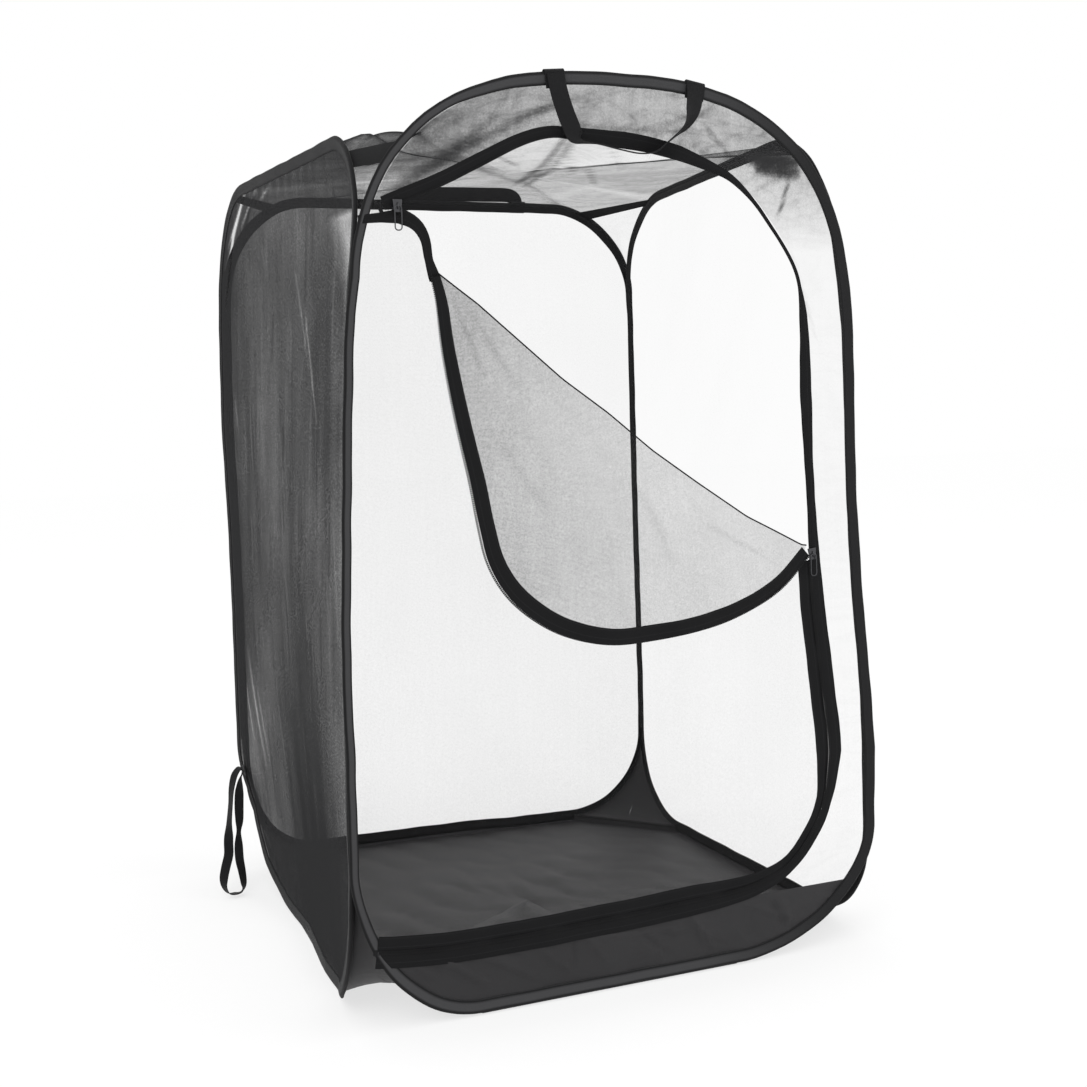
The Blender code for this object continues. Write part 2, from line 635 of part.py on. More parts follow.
def build_stop(name, end, inner):
    """A small block just beyond one end of the teeth."""
    away = (Vector(end) - Vector(inner)).normalized()
    near = Vector(end) + away * GAP
    far = near + away * STOP_SIZE[0]
    outline = strip_outline([tuple(near), tuple(far)], -STOP_SIZE[1] / 2, STOP_SIZE[1] / 2)
    flat_piece(name, outline, STOP_SIZE[2], CHAIN_LEVEL, "zip_chain", BODY_FRONT)


def flap_edge():
    """The middle of the tape on the folded corner's edge, from upper left to lower right."""
    start = Vector(FOLD_START)
    fold = Vector(FOLD_END) - start
    down = Vector((fold.y, -fold.x)) * FLAP_DEPTH_SHARE
    return [tuple(start + fold * share + down * depth) for share, depth in FLAP_NET_SHARES]


def build_flap():
    edge = flap_edge()
    taped = edge[FLAP_TAPE_START:]
    half = ZIP_TAPE_WIDTH / 2
    outline = [FOLD_END, FOLD_START] + edge
    flat_piece("flap_net", outline, NET_THICKNESS, FLAP_NET_LEVEL, "net", BODY_FLAP)
    flat_piece("flap_tape", strip_outline(taped, -half, half), ZIP_TAPE_THICKNESS,
               FLAP_TAPE_LEVEL, "zip_tape", BODY_FLAP)
    near = half + GAP
    flat_piece("flap_chain", strip_outline(taped, -near - CHAIN_WIDTH / 2, -near), CHAIN_THICKNESS,
               FLAP_CHAIN_LEVEL, "zip_chain", BODY_FLAP)


# Sliders and pulls
def build_slider(name, place, along):
    """A slider on the teeth with a lug, and the wire pull that hangs in the lug."""
    angle = math.atan2(along[1], along[0]) - RIGHT_ANGLE
    body = add_body(f"body_{name}", FRONT.place(*place, SLIDER_LEVEL), BODY_FRONT)
    frame = FRONT.matrix @ Matrix.Translation((*place, SLIDER_LEVEL)) @ Matrix.Rotation(angle, 4, "Z")
    wide, long, thick = SLIDER_SIZE
    bm = bmesh.new()
    rings = []
    for out in (-thick / 2, thick / 2):
        ring = []
        for x, y in ((-1, 1), (-SLIDER_TAPER_SHARE, -1), (SLIDER_TAPER_SHARE, -1), (1, 1)):
            ring.append(bm.verts.new((x * wide / 2, y * long / 2, out)))
        rings.append(ring)
    skin(bm, rings, True, False)
    bm.faces.new(rings[0])
    bm.faces.new(rings[-1])
    slider = add_object(name, mesh_from(name, bm, False), "zip_metal", body, frame)
    lug_middle = thick / 2 + LUG_REACH - LUG_SINK
    lug_frame = frame @ Matrix.Translation((0, 0, lug_middle)) @ Matrix.Rotation(RIGHT_ANGLE, 4, "Y")
    circle = []
    for i in range(LUG_STEPS):
        turn = 2 * math.pi * (i + 0.5) / LUG_STEPS
        circle.append((LUG_REACH * math.cos(turn), LUG_REACH * math.sin(turn)))
    half = LUG_SECTION[0] / 2
    section = ((0, -half), (0, half), (-LUG_SECTION[1], half), (-LUG_SECTION[1], -half))
    lug = sweep(f"{name}_lug", circle, section, "zip_metal", body, lug_frame)
    PARTS.objects.unlink(lug)
    CUTTERS.objects.link(lug)
    lug.hide_render = True
    lug.display_type = "WIRE"
    union = slider.modifiers.new("lug", "BOOLEAN")
    union.operation = "UNION"
    union.solver = "EXACT"
    union.object = lug
    build_pull(f"{name}_pull", frame, angle, lug_middle, body)


def build_pull(name, frame, angle, level, slider_body):
    axis_place = frame @ Vector((0, 0, level))
    body = add_body(f"body_{name}", axis_place, slider_body)
    hang = frame @ Matrix.Translation((0, 0, level)) @ Matrix.Rotation(-angle, 4, "Z")
    wide, long = PULL_SIZE
    inset_x = wide / 2 - PULL_ROUND
    places = []
    for turn_x, turn_y in ((1, 0), (1, -1), (-1, -1), (-1, 0)):
        middle_y = -PULL_ROUND if turn_y == 0 else PULL_ROUND - long
        side = 1 if turn_y == 0 else -1
        quarter = []
        for i in range(PULL_STEPS + 1):
            turn = RIGHT_ANGLE * i / PULL_STEPS
            x = turn_x * (inset_x + PULL_ROUND * math.sin(turn))
            y = middle_y + side * PULL_ROUND * math.cos(turn)
            quarter.append((x, y, 0))
        places += quarter if turn_x * side > 0 else quarter[::-1]
    round_wire(name, places, PULL_WIRE, True, "zip_metal", body, hang)


# Handles and strap
def build_tab(name, hoop, across, body):
    """A webbing tab hooked over a hoop's top, longer on the outside."""
    place, slope = line_at(hoop.line()[::-1], across)
    top = SLEEVE_WIDTH / 2 + TAB_CLEARANCE
    inner = HALF_SLEEVE + GAP
    outer = inner + WEBBING_THICKNESS
    outline = (
        (-outer, top - TAB_INNER_DROP), (-outer, top + WEBBING_THICKNESS),
        (outer, top + WEBBING_THICKNESS), (outer, top - TAB_DROP),
        (inner, top - TAB_DROP), (inner, top), (-inner, top), (-inner, top - TAB_INNER_DROP),
    )
    bm = bmesh.new()
    rings = []
    for side in (-1, 1):
        rings.append([bm.verts.new((side * TAB_WIDTH / 2, up, out)) for out, up in outline])
    skin(bm, rings, True, False)
    bm.faces.new(rings[0])
    bm.faces.new(rings[-1])
    matrix = hoop.matrix @ Matrix.Translation((*place, 0)) @ Matrix.Rotation(slope, 4, "Z")
    add_object(name, mesh_from(name, bm, False), "webbing", body, matrix)


def handle_ends(hoop, tabs):
    lift = SLEEVE_WIDTH / 2
    line = hoop.line()[::-1]
    left, right = (line_at(line, across)[0] for across in tabs)
    return Vector((*left, HANDLE_OUT)) + Vector((0, lift, 0)), Vector((*right, HANDLE_OUT)) + Vector((0, lift, 0))


def build_handle(name, hoop, tabs, drop, shares):
    """A webbing handle between two tabs, turned edge-on to the wall in its middle."""
    left, right = handle_ends(hoop, tabs)
    body = add_body(f"body_{name}", hoop.place(*left), WALL_BODIES[hoop.name])
    places = []
    for along, fall, turn in shares:
        place = left.lerp(right, along)
        place.y += drop * fall
        place.z += HANDLE_STAND * turn
        places.append(place)
    wides = []
    for i, (_, _, turn) in enumerate(shares):
        before = places[max(0, i - 1)]
        after = places[min(len(places) - 1, i + 1)]
        along = after - before
        flat = Vector((-along.y, along.x, 0)).normalized()
        if i in (0, len(places) - 1):
            flat = (right - left) * math.copysign(1 / (right - left).length, flat.x)
        angle = RIGHT_ANGLE * turn
        wides.append(flat * math.cos(angle) + Vector((0, 0, math.sin(angle))))
    ribbon(name, places, wides, WEBBING_WIDTH, "webbing", body, hoop)


def build_handles():
    for name, hoop, tabs in (("front", FRONT, FRONT_TABS), ("rear", BACK, REAR_TABS)):
        for label, across in zip(("left", "right"), tabs):
            build_tab(f"{name}_handle_tab_{label}", hoop, across, WALL_BODIES[hoop.name])
    build_handle("front_handle", FRONT, FRONT_TABS, -FRONT_HANDLE_DROP, FRONT_HANDLE_SHARES)
    build_handle("rear_handle", BACK, REAR_TABS, REAR_HANDLE_RISE, REAR_HANDLE_SHARES)


def build_strap():
    """The closed webbing loop that ties the folded cage, hanging from the left hoop."""
    places = []
    for across, up, out, _ in STRAP_SHARES:
        shift = Vector((across, up, out)) * STRAP_LENGTH
        places.append(Vector((STRAP_START, 0, 0)) + shift)
    wides = []
    for i, (_, _, _, turn) in enumerate(STRAP_SHARES):
        along = places[(i + 1) % len(places)] - places[i - 1]
        flat = Vector((0, along.z, -along.y)).normalized()
        angle = RIGHT_ANGLE * turn
        wides.append(flat * math.cos(angle) + Vector((math.sin(angle), 0, 0)))
    pivot = places[0] + Vector((0, STRAP_PIVOT_RISE, 0))
    body = add_body("body_storage_strap", LEFT.place(*pivot), BODY_LEFT)
    ribbon("storage_strap", places, wides, STRAP_WIDTH, "webbing", body, LEFT, closed=True)
    wide, tall, thick = STRAP_TAB
    level = HALF_SLEEVE + GAP + thick / 2
    middle = places[0].x
    line = [(middle, STRAP_TAB_HEIGHT - tall / 2), (middle, STRAP_TAB_HEIGHT + tall / 2)]
    flat_piece("strap_tab", strip_outline(line, -wide / 2, wide / 2), thick, level, "webbing",
               BODY_LEFT, LEFT)


# Floor, roof and corner cloth
def build_floor():
    outline = []
    for hoop in HOOPS:
        for key, side in (("low_left", -1), ("low_right", 1)):
            width = hoop.corners[key][0]
            place = hoop.place(side * (hoop.half - width), 0)
            outline.append((place.x, place.y))
    bm = bmesh.new()
    rings = [[bm.verts.new((*place, up)) for place in outline] for up in (0, FLOOR_THICKNESS)]
    skin(bm, rings, True, False)
    bm.faces.new(rings[0])
    bm.faces.new(rings[-1])
    add_object("floor_panel", mesh_from("floor_panel", bm, False), "floor_cloth", BODY_BACK)


def corner_rows(hoop_a, hoop_b, end, reaches):
    """Pairs of points up or down two hoops' facing corners, from the post to the reaches."""
    keys = (f"{end}_right", f"{end}_left")
    hoops = (hoop_a, hoop_b)
    bases = [hoop.corner_base(key) for hoop, key in zip(hoops, keys)]
    base = min(bases) if end == "top" else max(bases)
    goals = [hoop.reach_height(key, reach) for hoop, key, reach in zip(hoops, keys, reaches)]
    rows = []
    for i in range(GUSSET_STEPS + 1):
        share = math.sin(RIGHT_ANGLE * i / GUSSET_STEPS)
        row = []
        for hoop, key, goal in zip(hoops, keys, goals):
            across, up = hoop.at_height(key, base + (goal - base) * share)
            if end == "low":
                up -= (HOOP_BOTTOM - GUSSET_FOOT) * share
            row.append(hoop.place(across, up, INNER_FACE))
        rows.append(row)
    return rows


def reach_point(hoop, key, reach):
    across, up = hoop.at_height(key, hoop.reach_height(key, reach))
    return hoop.place(across, up, INNER_FACE)


def spread(a, b, steps):
    return [a.lerp(b, i / steps) for i in range(steps + 1)]


def build_corner_cloth():
    half = SEAM_TAPE_WIDTH / 2
    for name, hoop_a, hoop_b, reaches in CORNERS:
        low = [hoop_a.corners["low_right"][0], hoop_b.corners["low_left"][0]]
        sheet(f"floor_gusset_{name}", corner_rows(hoop_a, hoop_b, "low", low), NET_THICKNESS,
              "floor_cloth", BODY_BACK)
        short = [reach - half - SEAM_GAP for reach in reaches]
        sheet(f"roof_gusset_{name}", corner_rows(hoop_a, hoop_b, "top", short), NET_THICKNESS,
              "net", BODY_BACK)
        rows = []
        for shift in (-half, half):
            a = reach_point(hoop_a, "top_right", reaches[0] + shift)
            b = reach_point(hoop_b, "top_left", reaches[1] + shift)
            rows.append(spread(a, b, SEAM_STEPS))
        sheet(f"roof_tape_{name}", rows, SEAM_TAPE_THICKNESS, "sleeve", BODY_BACK)


def build_roof():
    """The roof's net: rings from its middle out to the hoops' tops and the corner tapes."""
    beyond = SEAM_TAPE_WIDTH / 2 + SEAM_GAP
    left_reach = {hoop_b.name: reaches[1] + beyond for _, _, hoop_b, reaches in CORNERS}
    right_reach = {hoop_a.name: reaches[0] + beyond for _, hoop_a, _, reaches in CORNERS}
    boundary = []
    for hoop in HOOPS:
        start = left_reach[hoop.name] - hoop.half
        end = hoop.half - right_reach[hoop.name]
        run = []
        for i in range(ROOF_EDGE_STEPS + 1):
            across = start + (end - start) * i / ROOF_EDGE_STEPS
            run.append(hoop.place(across, hoop.top_at(across), INNER_FACE))
        if boundary:
            boundary += spread(boundary[-1], run[0], SEAM_STEPS)[1:-1]
        boundary += run
    boundary += spread(boundary[-1], boundary[0], SEAM_STEPS)[1:-1]
    middle = MIDDLE + Vector((0, 0, ROOF_MIDDLE))
    rows = []
    for share in ROOF_RING_SHARES:
        row = []
        for point in boundary:
            place = middle.lerp(point, share)
            place.z = ROOF_MIDDLE + (point.z - ROOF_MIDDLE) * share**ROOF_POWER
            row.append(place)
        rows.append(row)
    sheet("roof_panel", rows, NET_THICKNESS, "net", BODY_BACK, True, middle)


build_hoops()
build_walls()
build_front_nets()
build_zip()
build_flap()
build_slider("slider_lower", ZIP_KNEE, Vector(ZIP_KNEE) - Vector(ZIP_LOW_CORNER))
build_slider("slider_upper", UPPER_SLIDER, (0, 1))
build_handles()
build_strap()
build_floor()
build_corner_cloth()
build_roof()
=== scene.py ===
"""Pop-up mesh insect cage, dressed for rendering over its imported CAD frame."""
import math

import bmesh
import bpy
import numpy as np
from mathutils import Matrix, Vector, geometry


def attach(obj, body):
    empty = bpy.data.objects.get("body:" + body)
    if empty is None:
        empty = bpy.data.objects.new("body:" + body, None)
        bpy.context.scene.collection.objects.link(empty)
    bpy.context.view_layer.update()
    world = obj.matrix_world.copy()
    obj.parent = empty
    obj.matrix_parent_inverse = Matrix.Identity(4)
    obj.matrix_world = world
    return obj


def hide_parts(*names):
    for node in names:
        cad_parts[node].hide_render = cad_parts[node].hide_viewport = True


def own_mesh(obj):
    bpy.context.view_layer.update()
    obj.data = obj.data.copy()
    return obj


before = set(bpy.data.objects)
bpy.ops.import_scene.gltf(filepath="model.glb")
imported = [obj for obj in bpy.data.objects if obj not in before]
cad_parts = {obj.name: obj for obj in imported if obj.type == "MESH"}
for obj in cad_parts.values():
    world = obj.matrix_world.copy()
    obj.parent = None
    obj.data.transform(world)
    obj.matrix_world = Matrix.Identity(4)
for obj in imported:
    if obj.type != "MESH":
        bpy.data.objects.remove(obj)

bl_info = {
    "name": "Insect cage",
    "version": (1, 0, 0),
    "blender": (4, 5, 0),
    "location": "View3D > Sidebar > Cage",
    "description": "Dresses the pop-up insect cage: sleeves, nets, zip, webbing, floor and stage",
    "category": "Object",
}

MIDDLE = Vector((0.020181, 0.003366, 0))
RIGHT_ANGLE = math.pi / 2
SLEEVE_INSET = 0.0096


# Settings
class CageShape(bpy.types.PropertyGroup):
    """Sizes that the pieces share, as in the CAD."""

    width: bpy.props.FloatProperty(name="Width between walls", default=0.612, unit="LENGTH")
    depth: bpy.props.FloatProperty(name="Depth between walls", default=0.590, unit="LENGTH")
    sleeve_width: bpy.props.FloatProperty(name="Sleeve width", default=0.014, unit="LENGTH")
    sleeve_thickness: bpy.props.FloatProperty(name="Sleeve thickness", default=0.0046, unit="LENGTH")
    hoop_bottom: bpy.props.FloatProperty(name="Hoop centre above ground", default=0.009)
    roof_middle: bpy.props.FloatProperty(name="Roof middle height", default=0.902)
    webbing_width: bpy.props.FloatProperty(name="Handle webbing width", default=0.020)
    strap_width: bpy.props.FloatProperty(name="Storage strap width", default=0.012)


class CageCloth(bpy.types.PropertyGroup):
    """How fine and how wrinkled the cloth is."""

    net_pitch: bpy.props.FloatProperty(name="Net hole pitch", default=0.00125)
    net_spacing: bpy.props.FloatProperty(name="Net mesh spacing", default=0.009)
    wrinkle: bpy.props.FloatProperty(name="Wrinkle height", default=1.0)
    hoop_steps: bpy.props.IntProperty(name="Steps in a hoop corner", default=22)
    tooth_pitch: bpy.props.FloatProperty(name="Zip tooth pitch", default=0.0021)


class CageLight(bpy.types.PropertyGroup):
    """Camera, light and backdrop."""

    lens: bpy.props.FloatProperty(name="Lens", default=49.67)
    shift: bpy.props.FloatProperty(name="Vertical shift", default=-0.0805)
    world: bpy.props.FloatProperty(name="Surrounding light", default=1.0)
    key: bpy.props.FloatProperty(name="Key light", default=7.0)
    fill: bpy.props.FloatProperty(name="Fill light", default=3.0)


def shape():
    return bpy.context.scene.cage_shape


def cloth():
    return bpy.context.scene.cage_cloth


# How the sprung hoops stand off their flat shape, in millimetres at heights up each post: across
# for the front and back, inwards for the sides, on the left and the right post seen from outside
WARP = {
    "front": ((0, 0, 0), (0.05, 0, 3), (0.10, -1, 7), (0.16, -3, 7), (0.22, -3, 9), (0.275, -3, 5.5),
              (0.333, -4, 1), (0.39, -4, -4), (0.447, -2, -7), (0.50, 0, -10), (0.55, 2, -11),
              (0.60, 4, -11), (0.65, 6.5, -11), (0.70, 8.5, -10.5), (0.75, 10.5, -10),
              (0.80, 7.5, -8), (0.85, 4, -5), (0.9, 2, -2)),
    "right": ((0.01, 0, 6), (0.14, 0, 1.6), (0.22, 0, 3), (0.275, 1, 4), (0.333, 5, 5),
              (0.39, 10, 6), (0.447, 13, 6), (0.5, 15, 6.5), (0.6, 16, 7), (0.65, 17, 7),
              (0.7, 18, 7), (0.75, 23, 7), (0.8, 29, 9), (0.85, 34, 12), (0.92, 36, 12)),
    "back": ((0.01, -6, -16), (0.08, -10, -14), (0.15, -12, -9), (0.2, -12, -8.5), (0.35, -11, -8),
             (0.47, -10, -6.5), (0.6, -10, -3), (0.73, -9.4, -4), (0.83, -7, -7), (0.9, -5, -8)),
    "left": ((0.15, 8, 3), (0.2, 8.5, 2), (0.3, 8, 3), (0.35, 8, 4.5), (0.47, 6.5, 8.5), (0.6, 2.5, 10.6),
             (0.73, 3.5, 19), (0.83, 7, 30), (0.9, 8, 32)),
}
# How far the left hoop's foot stands inwards at places across it, in millimetres
LOW_LEFT = ((-0.285, 8), (-0.269, 14), (-0.248, 19.5), (-0.187, 20.5), (-0.148, 24.5),
            (-0.104, 26.5), (-0.055, 28.5), (0, 28.5), (0.06, 22.5), (0.12, 17), (0.175, 17),
            (0.203, 11.5), (0.227, 5), (0.285, 2))
# How far the back hoop's foot is raised at places across it, in millimetres
LIFT_BACK = ((-0.2, 0), (-0.1, 2), (-0.03, 6), (0.15, 9), (0.25, 10), (0.3, 10))


# Hoops
class Hoop:
    """One wall's hoop seen from outside: across to the right, up, and out towards the viewer."""

    def __init__(self, name, angle, distance, half, top, corners, lean=0.0):
        self.name = name
        self.body = f"{name}_wall"
        self.half = half
        self.top = top
        self.lean = lean
        self.bottom = round(shape().hoop_bottom, 6)
        self.corners = dict(zip(("top_left", "top_right", "low_left", "low_right"), corners))
        turn = Matrix.Translation(MIDDLE) @ Matrix.Rotation(angle, 4, "Z")
        away = Matrix.Translation((0, -distance, 0))
        self.matrix = turn @ away @ Matrix.Rotation(RIGHT_ANGLE, 4, "X")

    def warp(self, across, up):
        """How far the sprung hoop is moved at a place: across in its own plane, and out of it."""
        table = np.array(WARP[self.name])
        left = np.interp(up, table[:, 0], table[:, 1]) / 1000
        right = np.interp(up, table[:, 0], table[:, 2]) / 1000
        share = np.clip((across + self.half) / (2 * self.half), 0, 1)
        if self.name in ("front", "back"):
            near_left = np.clip(1 - share / 0.22, 0, 1) ** 2
            near_right = np.clip(1 - (1 - share) / 0.22, 0, 1) ** 2
            return left * near_left + right * near_right, 0.0
        share = share * share * (3 - 2 * share)
        inward = left * (1 - share) + right * share
        if self.name == "left":
            low = np.clip((0.17 - up) / 0.05, 0, 1)
            places, amounts = np.array(LOW_LEFT).T
            inward = inward * (1 - low) + np.interp(across, places, amounts) / 1000 * low
        return 0.0, -inward

    def world(self, points):
        """Points of (across, up, out) as an array in the row frame, on the sprung shape."""
        points = np.array(points, float)
        sideways, out = self.warp(points[:, 0], points[:, 1])
        if self.name == "back":
            places, amounts = np.array(LIFT_BACK).T
            low = np.clip((0.25 - points[:, 1]) / 0.2, 0, 1)
            points[:, 1] += np.interp(points[:, 0], places, amounts) / 1000 * low
        points[:, 0] += sideways
        points[:, 2] += out
        m = np.array(self.matrix)
        return points @ m[:3, :3].T + m[:3, 3]

    def turn(self, directions):
        """Directions of (across, up, out) in the row frame."""
        return unit(np.asarray(directions, float) @ np.array(self.matrix)[:3, :3].T)

    def lift(self, across, up):
        return up + self.lean * across / self.half * (up / self.top) ** 2

    def base(self, key):
        height = self.corners[key][1]
        return self.top - height if key.startswith("top") else self.bottom + height

    def at_height(self, key, up):
        width, height, power = self.corners[key]
        share = abs(up - self.base(key)) / height
        beyond = (up > self.base(key)) == key.startswith("top")
        bend = 1 - min(1.0, share) ** power if beyond else 1.0
        across = self.half - width + width * bend ** (1 / power)
        across *= 1 if key.endswith("right") else -1
        return across, self.lift(across, up)

    def reach_height(self, key, reach):
        width, height, power = self.corners[key]
        climb = height * (1 - ((width - reach) / width) ** power) ** (1 / power)
        return self.base(key) + (climb if key.startswith("top") else -climb)

    def top_at(self, across):
        key = "top_right" if across > 0 else "top_left"
        width, height, power = self.corners[key]
        beyond = min(1.0, max(0.0, abs(across) - (self.half - width)) / width)
        return self.lift(across, self.top - height + height * (1 - beyond**power) ** (1 / power))

    def line(self, steps, spacing=0.012):
        """The closed centre line, anticlockwise, with no stretch longer than the spacing."""
        points = []
        for key in ("low_right", "top_right", "top_left", "low_left"):
            width, height, power = self.corners[key]
            turn_x = 1 if key.endswith("right") else -1
            turn_y = 1 if key.startswith("top") else -1
            quarter = []
            for i in range(steps + 1):
                angle = RIGHT_ANGLE * i / steps
                x = turn_x * (self.half - width + width * math.cos(angle) ** (2 / power))
                y = self.base(key) + turn_y * height * math.sin(angle) ** (2 / power)
                quarter.append((x, self.lift(x, y)))
            points += quarter if turn_x * turn_y > 0 else quarter[::-1]
        return resample(points, spacing, True)


def build_hoops():
    width, depth = round(shape().width, 6), round(shape().depth, 6)
    front_half = width / 2 - SLEEVE_INSET
    side_half = depth / 2 - SLEEVE_INSET
    top = (0.292, 0.310, 2.6)
    back_top = (0.115, 0.120, 1.9)
    back_low = (0.105, 0.110, 2.1)
    right_top = (0.120, 0.130, 1.9)
    right_low = (0.115, 0.120, 2.0)
    front = Hoop("front", 0, depth / 2, front_half, 0.957,
                 (top, top, (0.125, 0.160, 2.0), (0.170, 0.130, 2.0)))
    right = Hoop("right", RIGHT_ANGLE, width / 2, side_half, 0.912,
                 (right_top, right_top, right_low, right_low), -0.012)
    back = Hoop("back", 2 * RIGHT_ANGLE, depth / 2, front_half, 0.899,
                (back_top, back_top, back_low, back_low))
    left = Hoop("left", -RIGHT_ANGLE, width / 2, side_half, 0.895,
                ((0.125, 0.120, 1.9), (0.085, 0.100, 2.0), (0.230, 0.200, 2.1), (0.110, 0.150, 2.1)))
    return front, right, back, left


# Lines and meshes
def resample(points, spacing, closed=False):
    """A line with points at even distances close to the spacing."""
    points = np.asarray(points, float)
    if closed:
        points = np.vstack([points, points[:1]])
    steps = np.linalg.norm(np.diff(points, axis=0), axis=1)
    keep = np.concatenate([[True], steps > 1e-6])
    points = points[keep]
    run = np.concatenate([[0], np.cumsum(np.linalg.norm(np.diff(points, axis=0), axis=1))])
    count = max(2, int(round(run[-1] / spacing)) + 1)
    at = np.linspace(0, run[-1], count)
    even = np.stack([np.interp(at, run, points[:, i]) for i in range(points.shape[1])], 1)
    return even[:-1] if closed else even


def smooth_line(points, steps, closed=False):
    """A curve through the points (Catmull-Rom)."""
    points = np.asarray(points, float)
    count = len(points)
    out = []
    for i in range(count if closed else count - 1):
        if closed:
            a, b, c, d = (points[(i + k) % count] for k in (-1, 0, 1, 2))
        else:
            b, c = points[i], points[i + 1]
            a = points[i - 1] if i else 2 * b - c
            d = points[i + 2] if i + 2 < count else 2 * c - b
        for k in range(steps):
            t = k / steps
            out.append(0.5 * (2 * b + (c - a) * t + (2 * a - 5 * b + 4 * c - d) * t**2
                              + (3 * b - a - 3 * c + d) * t**3))
    if not closed:
        out.append(points[-1])
    return np.array(out)


def unit(vectors):
    vectors = np.asarray(vectors, float)
    return vectors / np.maximum(np.linalg.norm(vectors, axis=-1, keepdims=True), 1e-12)


def tangents(points, closed=False):
    points = np.asarray(points, float)
    if closed:
        return unit(np.roll(points, -1, 0) - np.roll(points, 1, 0))
    return unit(np.gradient(points, axis=0))


def beside(points, distance, closed=False):
    """A flat line moved to its left by a distance, the same or one for each point."""
    points = np.asarray(points, float)
    along = tangents(points, closed)
    return points + np.stack([-along[:, 1], along[:, 0]], 1) * np.reshape(distance, (-1, 1))


def new_object(name, mesh, body=None):
    item = bpy.data.objects.new(name.replace(" ", "_"), mesh)
    bpy.context.scene.collection.objects.link(item)
    if body:
        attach(item, body)
    return item


def finish_mesh(name, verts, faces, corner_uvs, sharp=40):
    mesh = bpy.data.meshes.new(name)
    mesh.from_pydata([tuple(v) for v in verts], [], faces)
    layer = mesh.uv_layers.new(name="UVMap")
    layer.data.foreach_set("uv", np.asarray(corner_uvs, np.float32).ravel())
    mesh.validate()
    mesh.shade_smooth()
    if sharp:
        mesh.set_sharp_from_angle(angle=math.radians(sharp))
    mesh.update()
    return mesh


def grid_mesh(name, points, uvs, close_u=False, close_v=False, caps=False, sharp=40):
    """A mesh from rows of points. uvs has one more row or column where the grid closes."""
    n, m = points.shape[:2]
    faces, corners = [], []
    for i in range(n if close_u else n - 1):
        for j in range(m if close_v else m - 1):
            ring = ((i, j), (i + 1, j), (i + 1, j + 1), (i, j + 1))
            faces.append(tuple((a % n) * m + b % m for a, b in ring))
            corners.extend(uvs[a, b] for a, b in ring)
    if caps:
        for i, order in ((0, range(m)), (n - 1, range(m - 1, -1, -1))):
            faces.append(tuple(i * m + j for j in order))
            corners.extend(uvs[i, j] for j in order)
    return finish_mesh(name, points.reshape(-1, 3), faces, corners, sharp=sharp)


def sweep(name, path, wides, thicks, section, closed=False, sharp=40, scale=None):
    """A section of (wide, thick) pairs swept along a path, with UVs in metres."""
    path, wides, thicks = (np.asarray(a, float) for a in (path, wides, thicks))
    section = np.asarray(section, float)
    scale = np.ones(len(path)) if scale is None else np.asarray(scale, float)
    points = (path[:, None] + wides[:, None] * (section[None, :, :1] * scale[:, None, None])
              + thicks[:, None] * section[None, :, 1:])
    loop = np.vstack([path, path[:1]]) if closed else path
    run = np.concatenate([[0], np.cumsum(np.linalg.norm(np.diff(loop, axis=0), axis=1))])
    ring = np.vstack([section, section[:1]])
    around = np.concatenate([[0], np.cumsum(np.linalg.norm(np.diff(ring, axis=0), axis=1))])
    uvs = np.stack(np.meshgrid(run, around, indexing="ij"), -1)
    return grid_mesh(name, points, uvs, closed, True, not closed, sharp)


def band_section(width, thickness, columns=3):
    """A flat strap's section with rounded edges, seen from its front left round to its back."""
    edge = thickness * 0.35
    xs = np.linspace(-width / 2 + edge, width / 2 - edge, columns)
    front = [(x, thickness / 2) for x in xs]
    back = [(x, -thickness / 2) for x in xs[::-1]]
    return [(-width / 2, 0)] + front + [(width / 2, 0)] + back


def inside(points, outline):
    """Which flat points lie inside a closed outline."""
    x, y = points[:, 0], points[:, 1]
    result = np.zeros(len(points), bool)
    for (x0, y0), (x1, y1) in zip(outline, np.roll(outline, -1, 0)):
        crosses = (y0 > y) != (y1 > y)
        with np.errstate(divide="ignore", invalid="ignore"):
            at = (x1 - x0) * (y - y0) / (y1 - y0) + x0
        result ^= crosses & (x < at)
    return result


def edge_distance(points, outline):
    """Each point's distance to the nearest stretch of a closed outline."""
    best = np.full(len(points), 1e9)
    for a, b in zip(outline, np.roll(outline, -1, 0)):
        d = b - a
        t = np.clip(((points - a) @ d) / max(d @ d, 1e-12), 0, 1)
        best = np.minimum(best, np.linalg.norm(points - (a + t[:, None] * d), axis=1))
    return best


def set_load(mesh, values):
    """How much thread each point of a net carries: more in its folds, less where it is drawn thin."""
    layer = mesh.attributes.new("Load", "FLOAT", "POINT")
    values = np.broadcast_to(values, len(mesh.vertices))
    layer.data.foreach_set("value", np.ascontiguousarray(values, np.float32))
    return mesh


def patch_mesh(name, outline, spacing, surface, load=None):
    """A flat outline filled with even triangles, then placed by surface(points, edge distance)."""
    outline = resample(outline, spacing, True)
    low, high = outline.min(0), outline.max(0)
    xs = np.arange(low[0], high[0], spacing)
    ys = np.arange(low[1], high[1], spacing * 0.87)
    grid = np.array([(x + (j % 2) * spacing / 2, y) for j, y in enumerate(ys) for x in xs])
    grid = grid[inside(grid, outline)]
    grid = grid[edge_distance(grid, outline) > spacing * 0.55]
    count = len(outline)
    flat = np.vstack([outline, grid])
    edges = [(i, (i + 1) % count) for i in range(count)]
    verts, _, faces = geometry.delaunay_2d_cdt([Vector(p) for p in flat], edges, [], 1, 1e-6)[:3]
    flat = np.array([tuple(v) for v in verts])
    placed = surface(flat, edge_distance(flat, outline))
    corners = [flat[i] for face in faces for i in face]
    mesh = finish_mesh(name, placed, faces, corners, sharp=0)
    return set_load(mesh, 1 if load is None else load(flat))


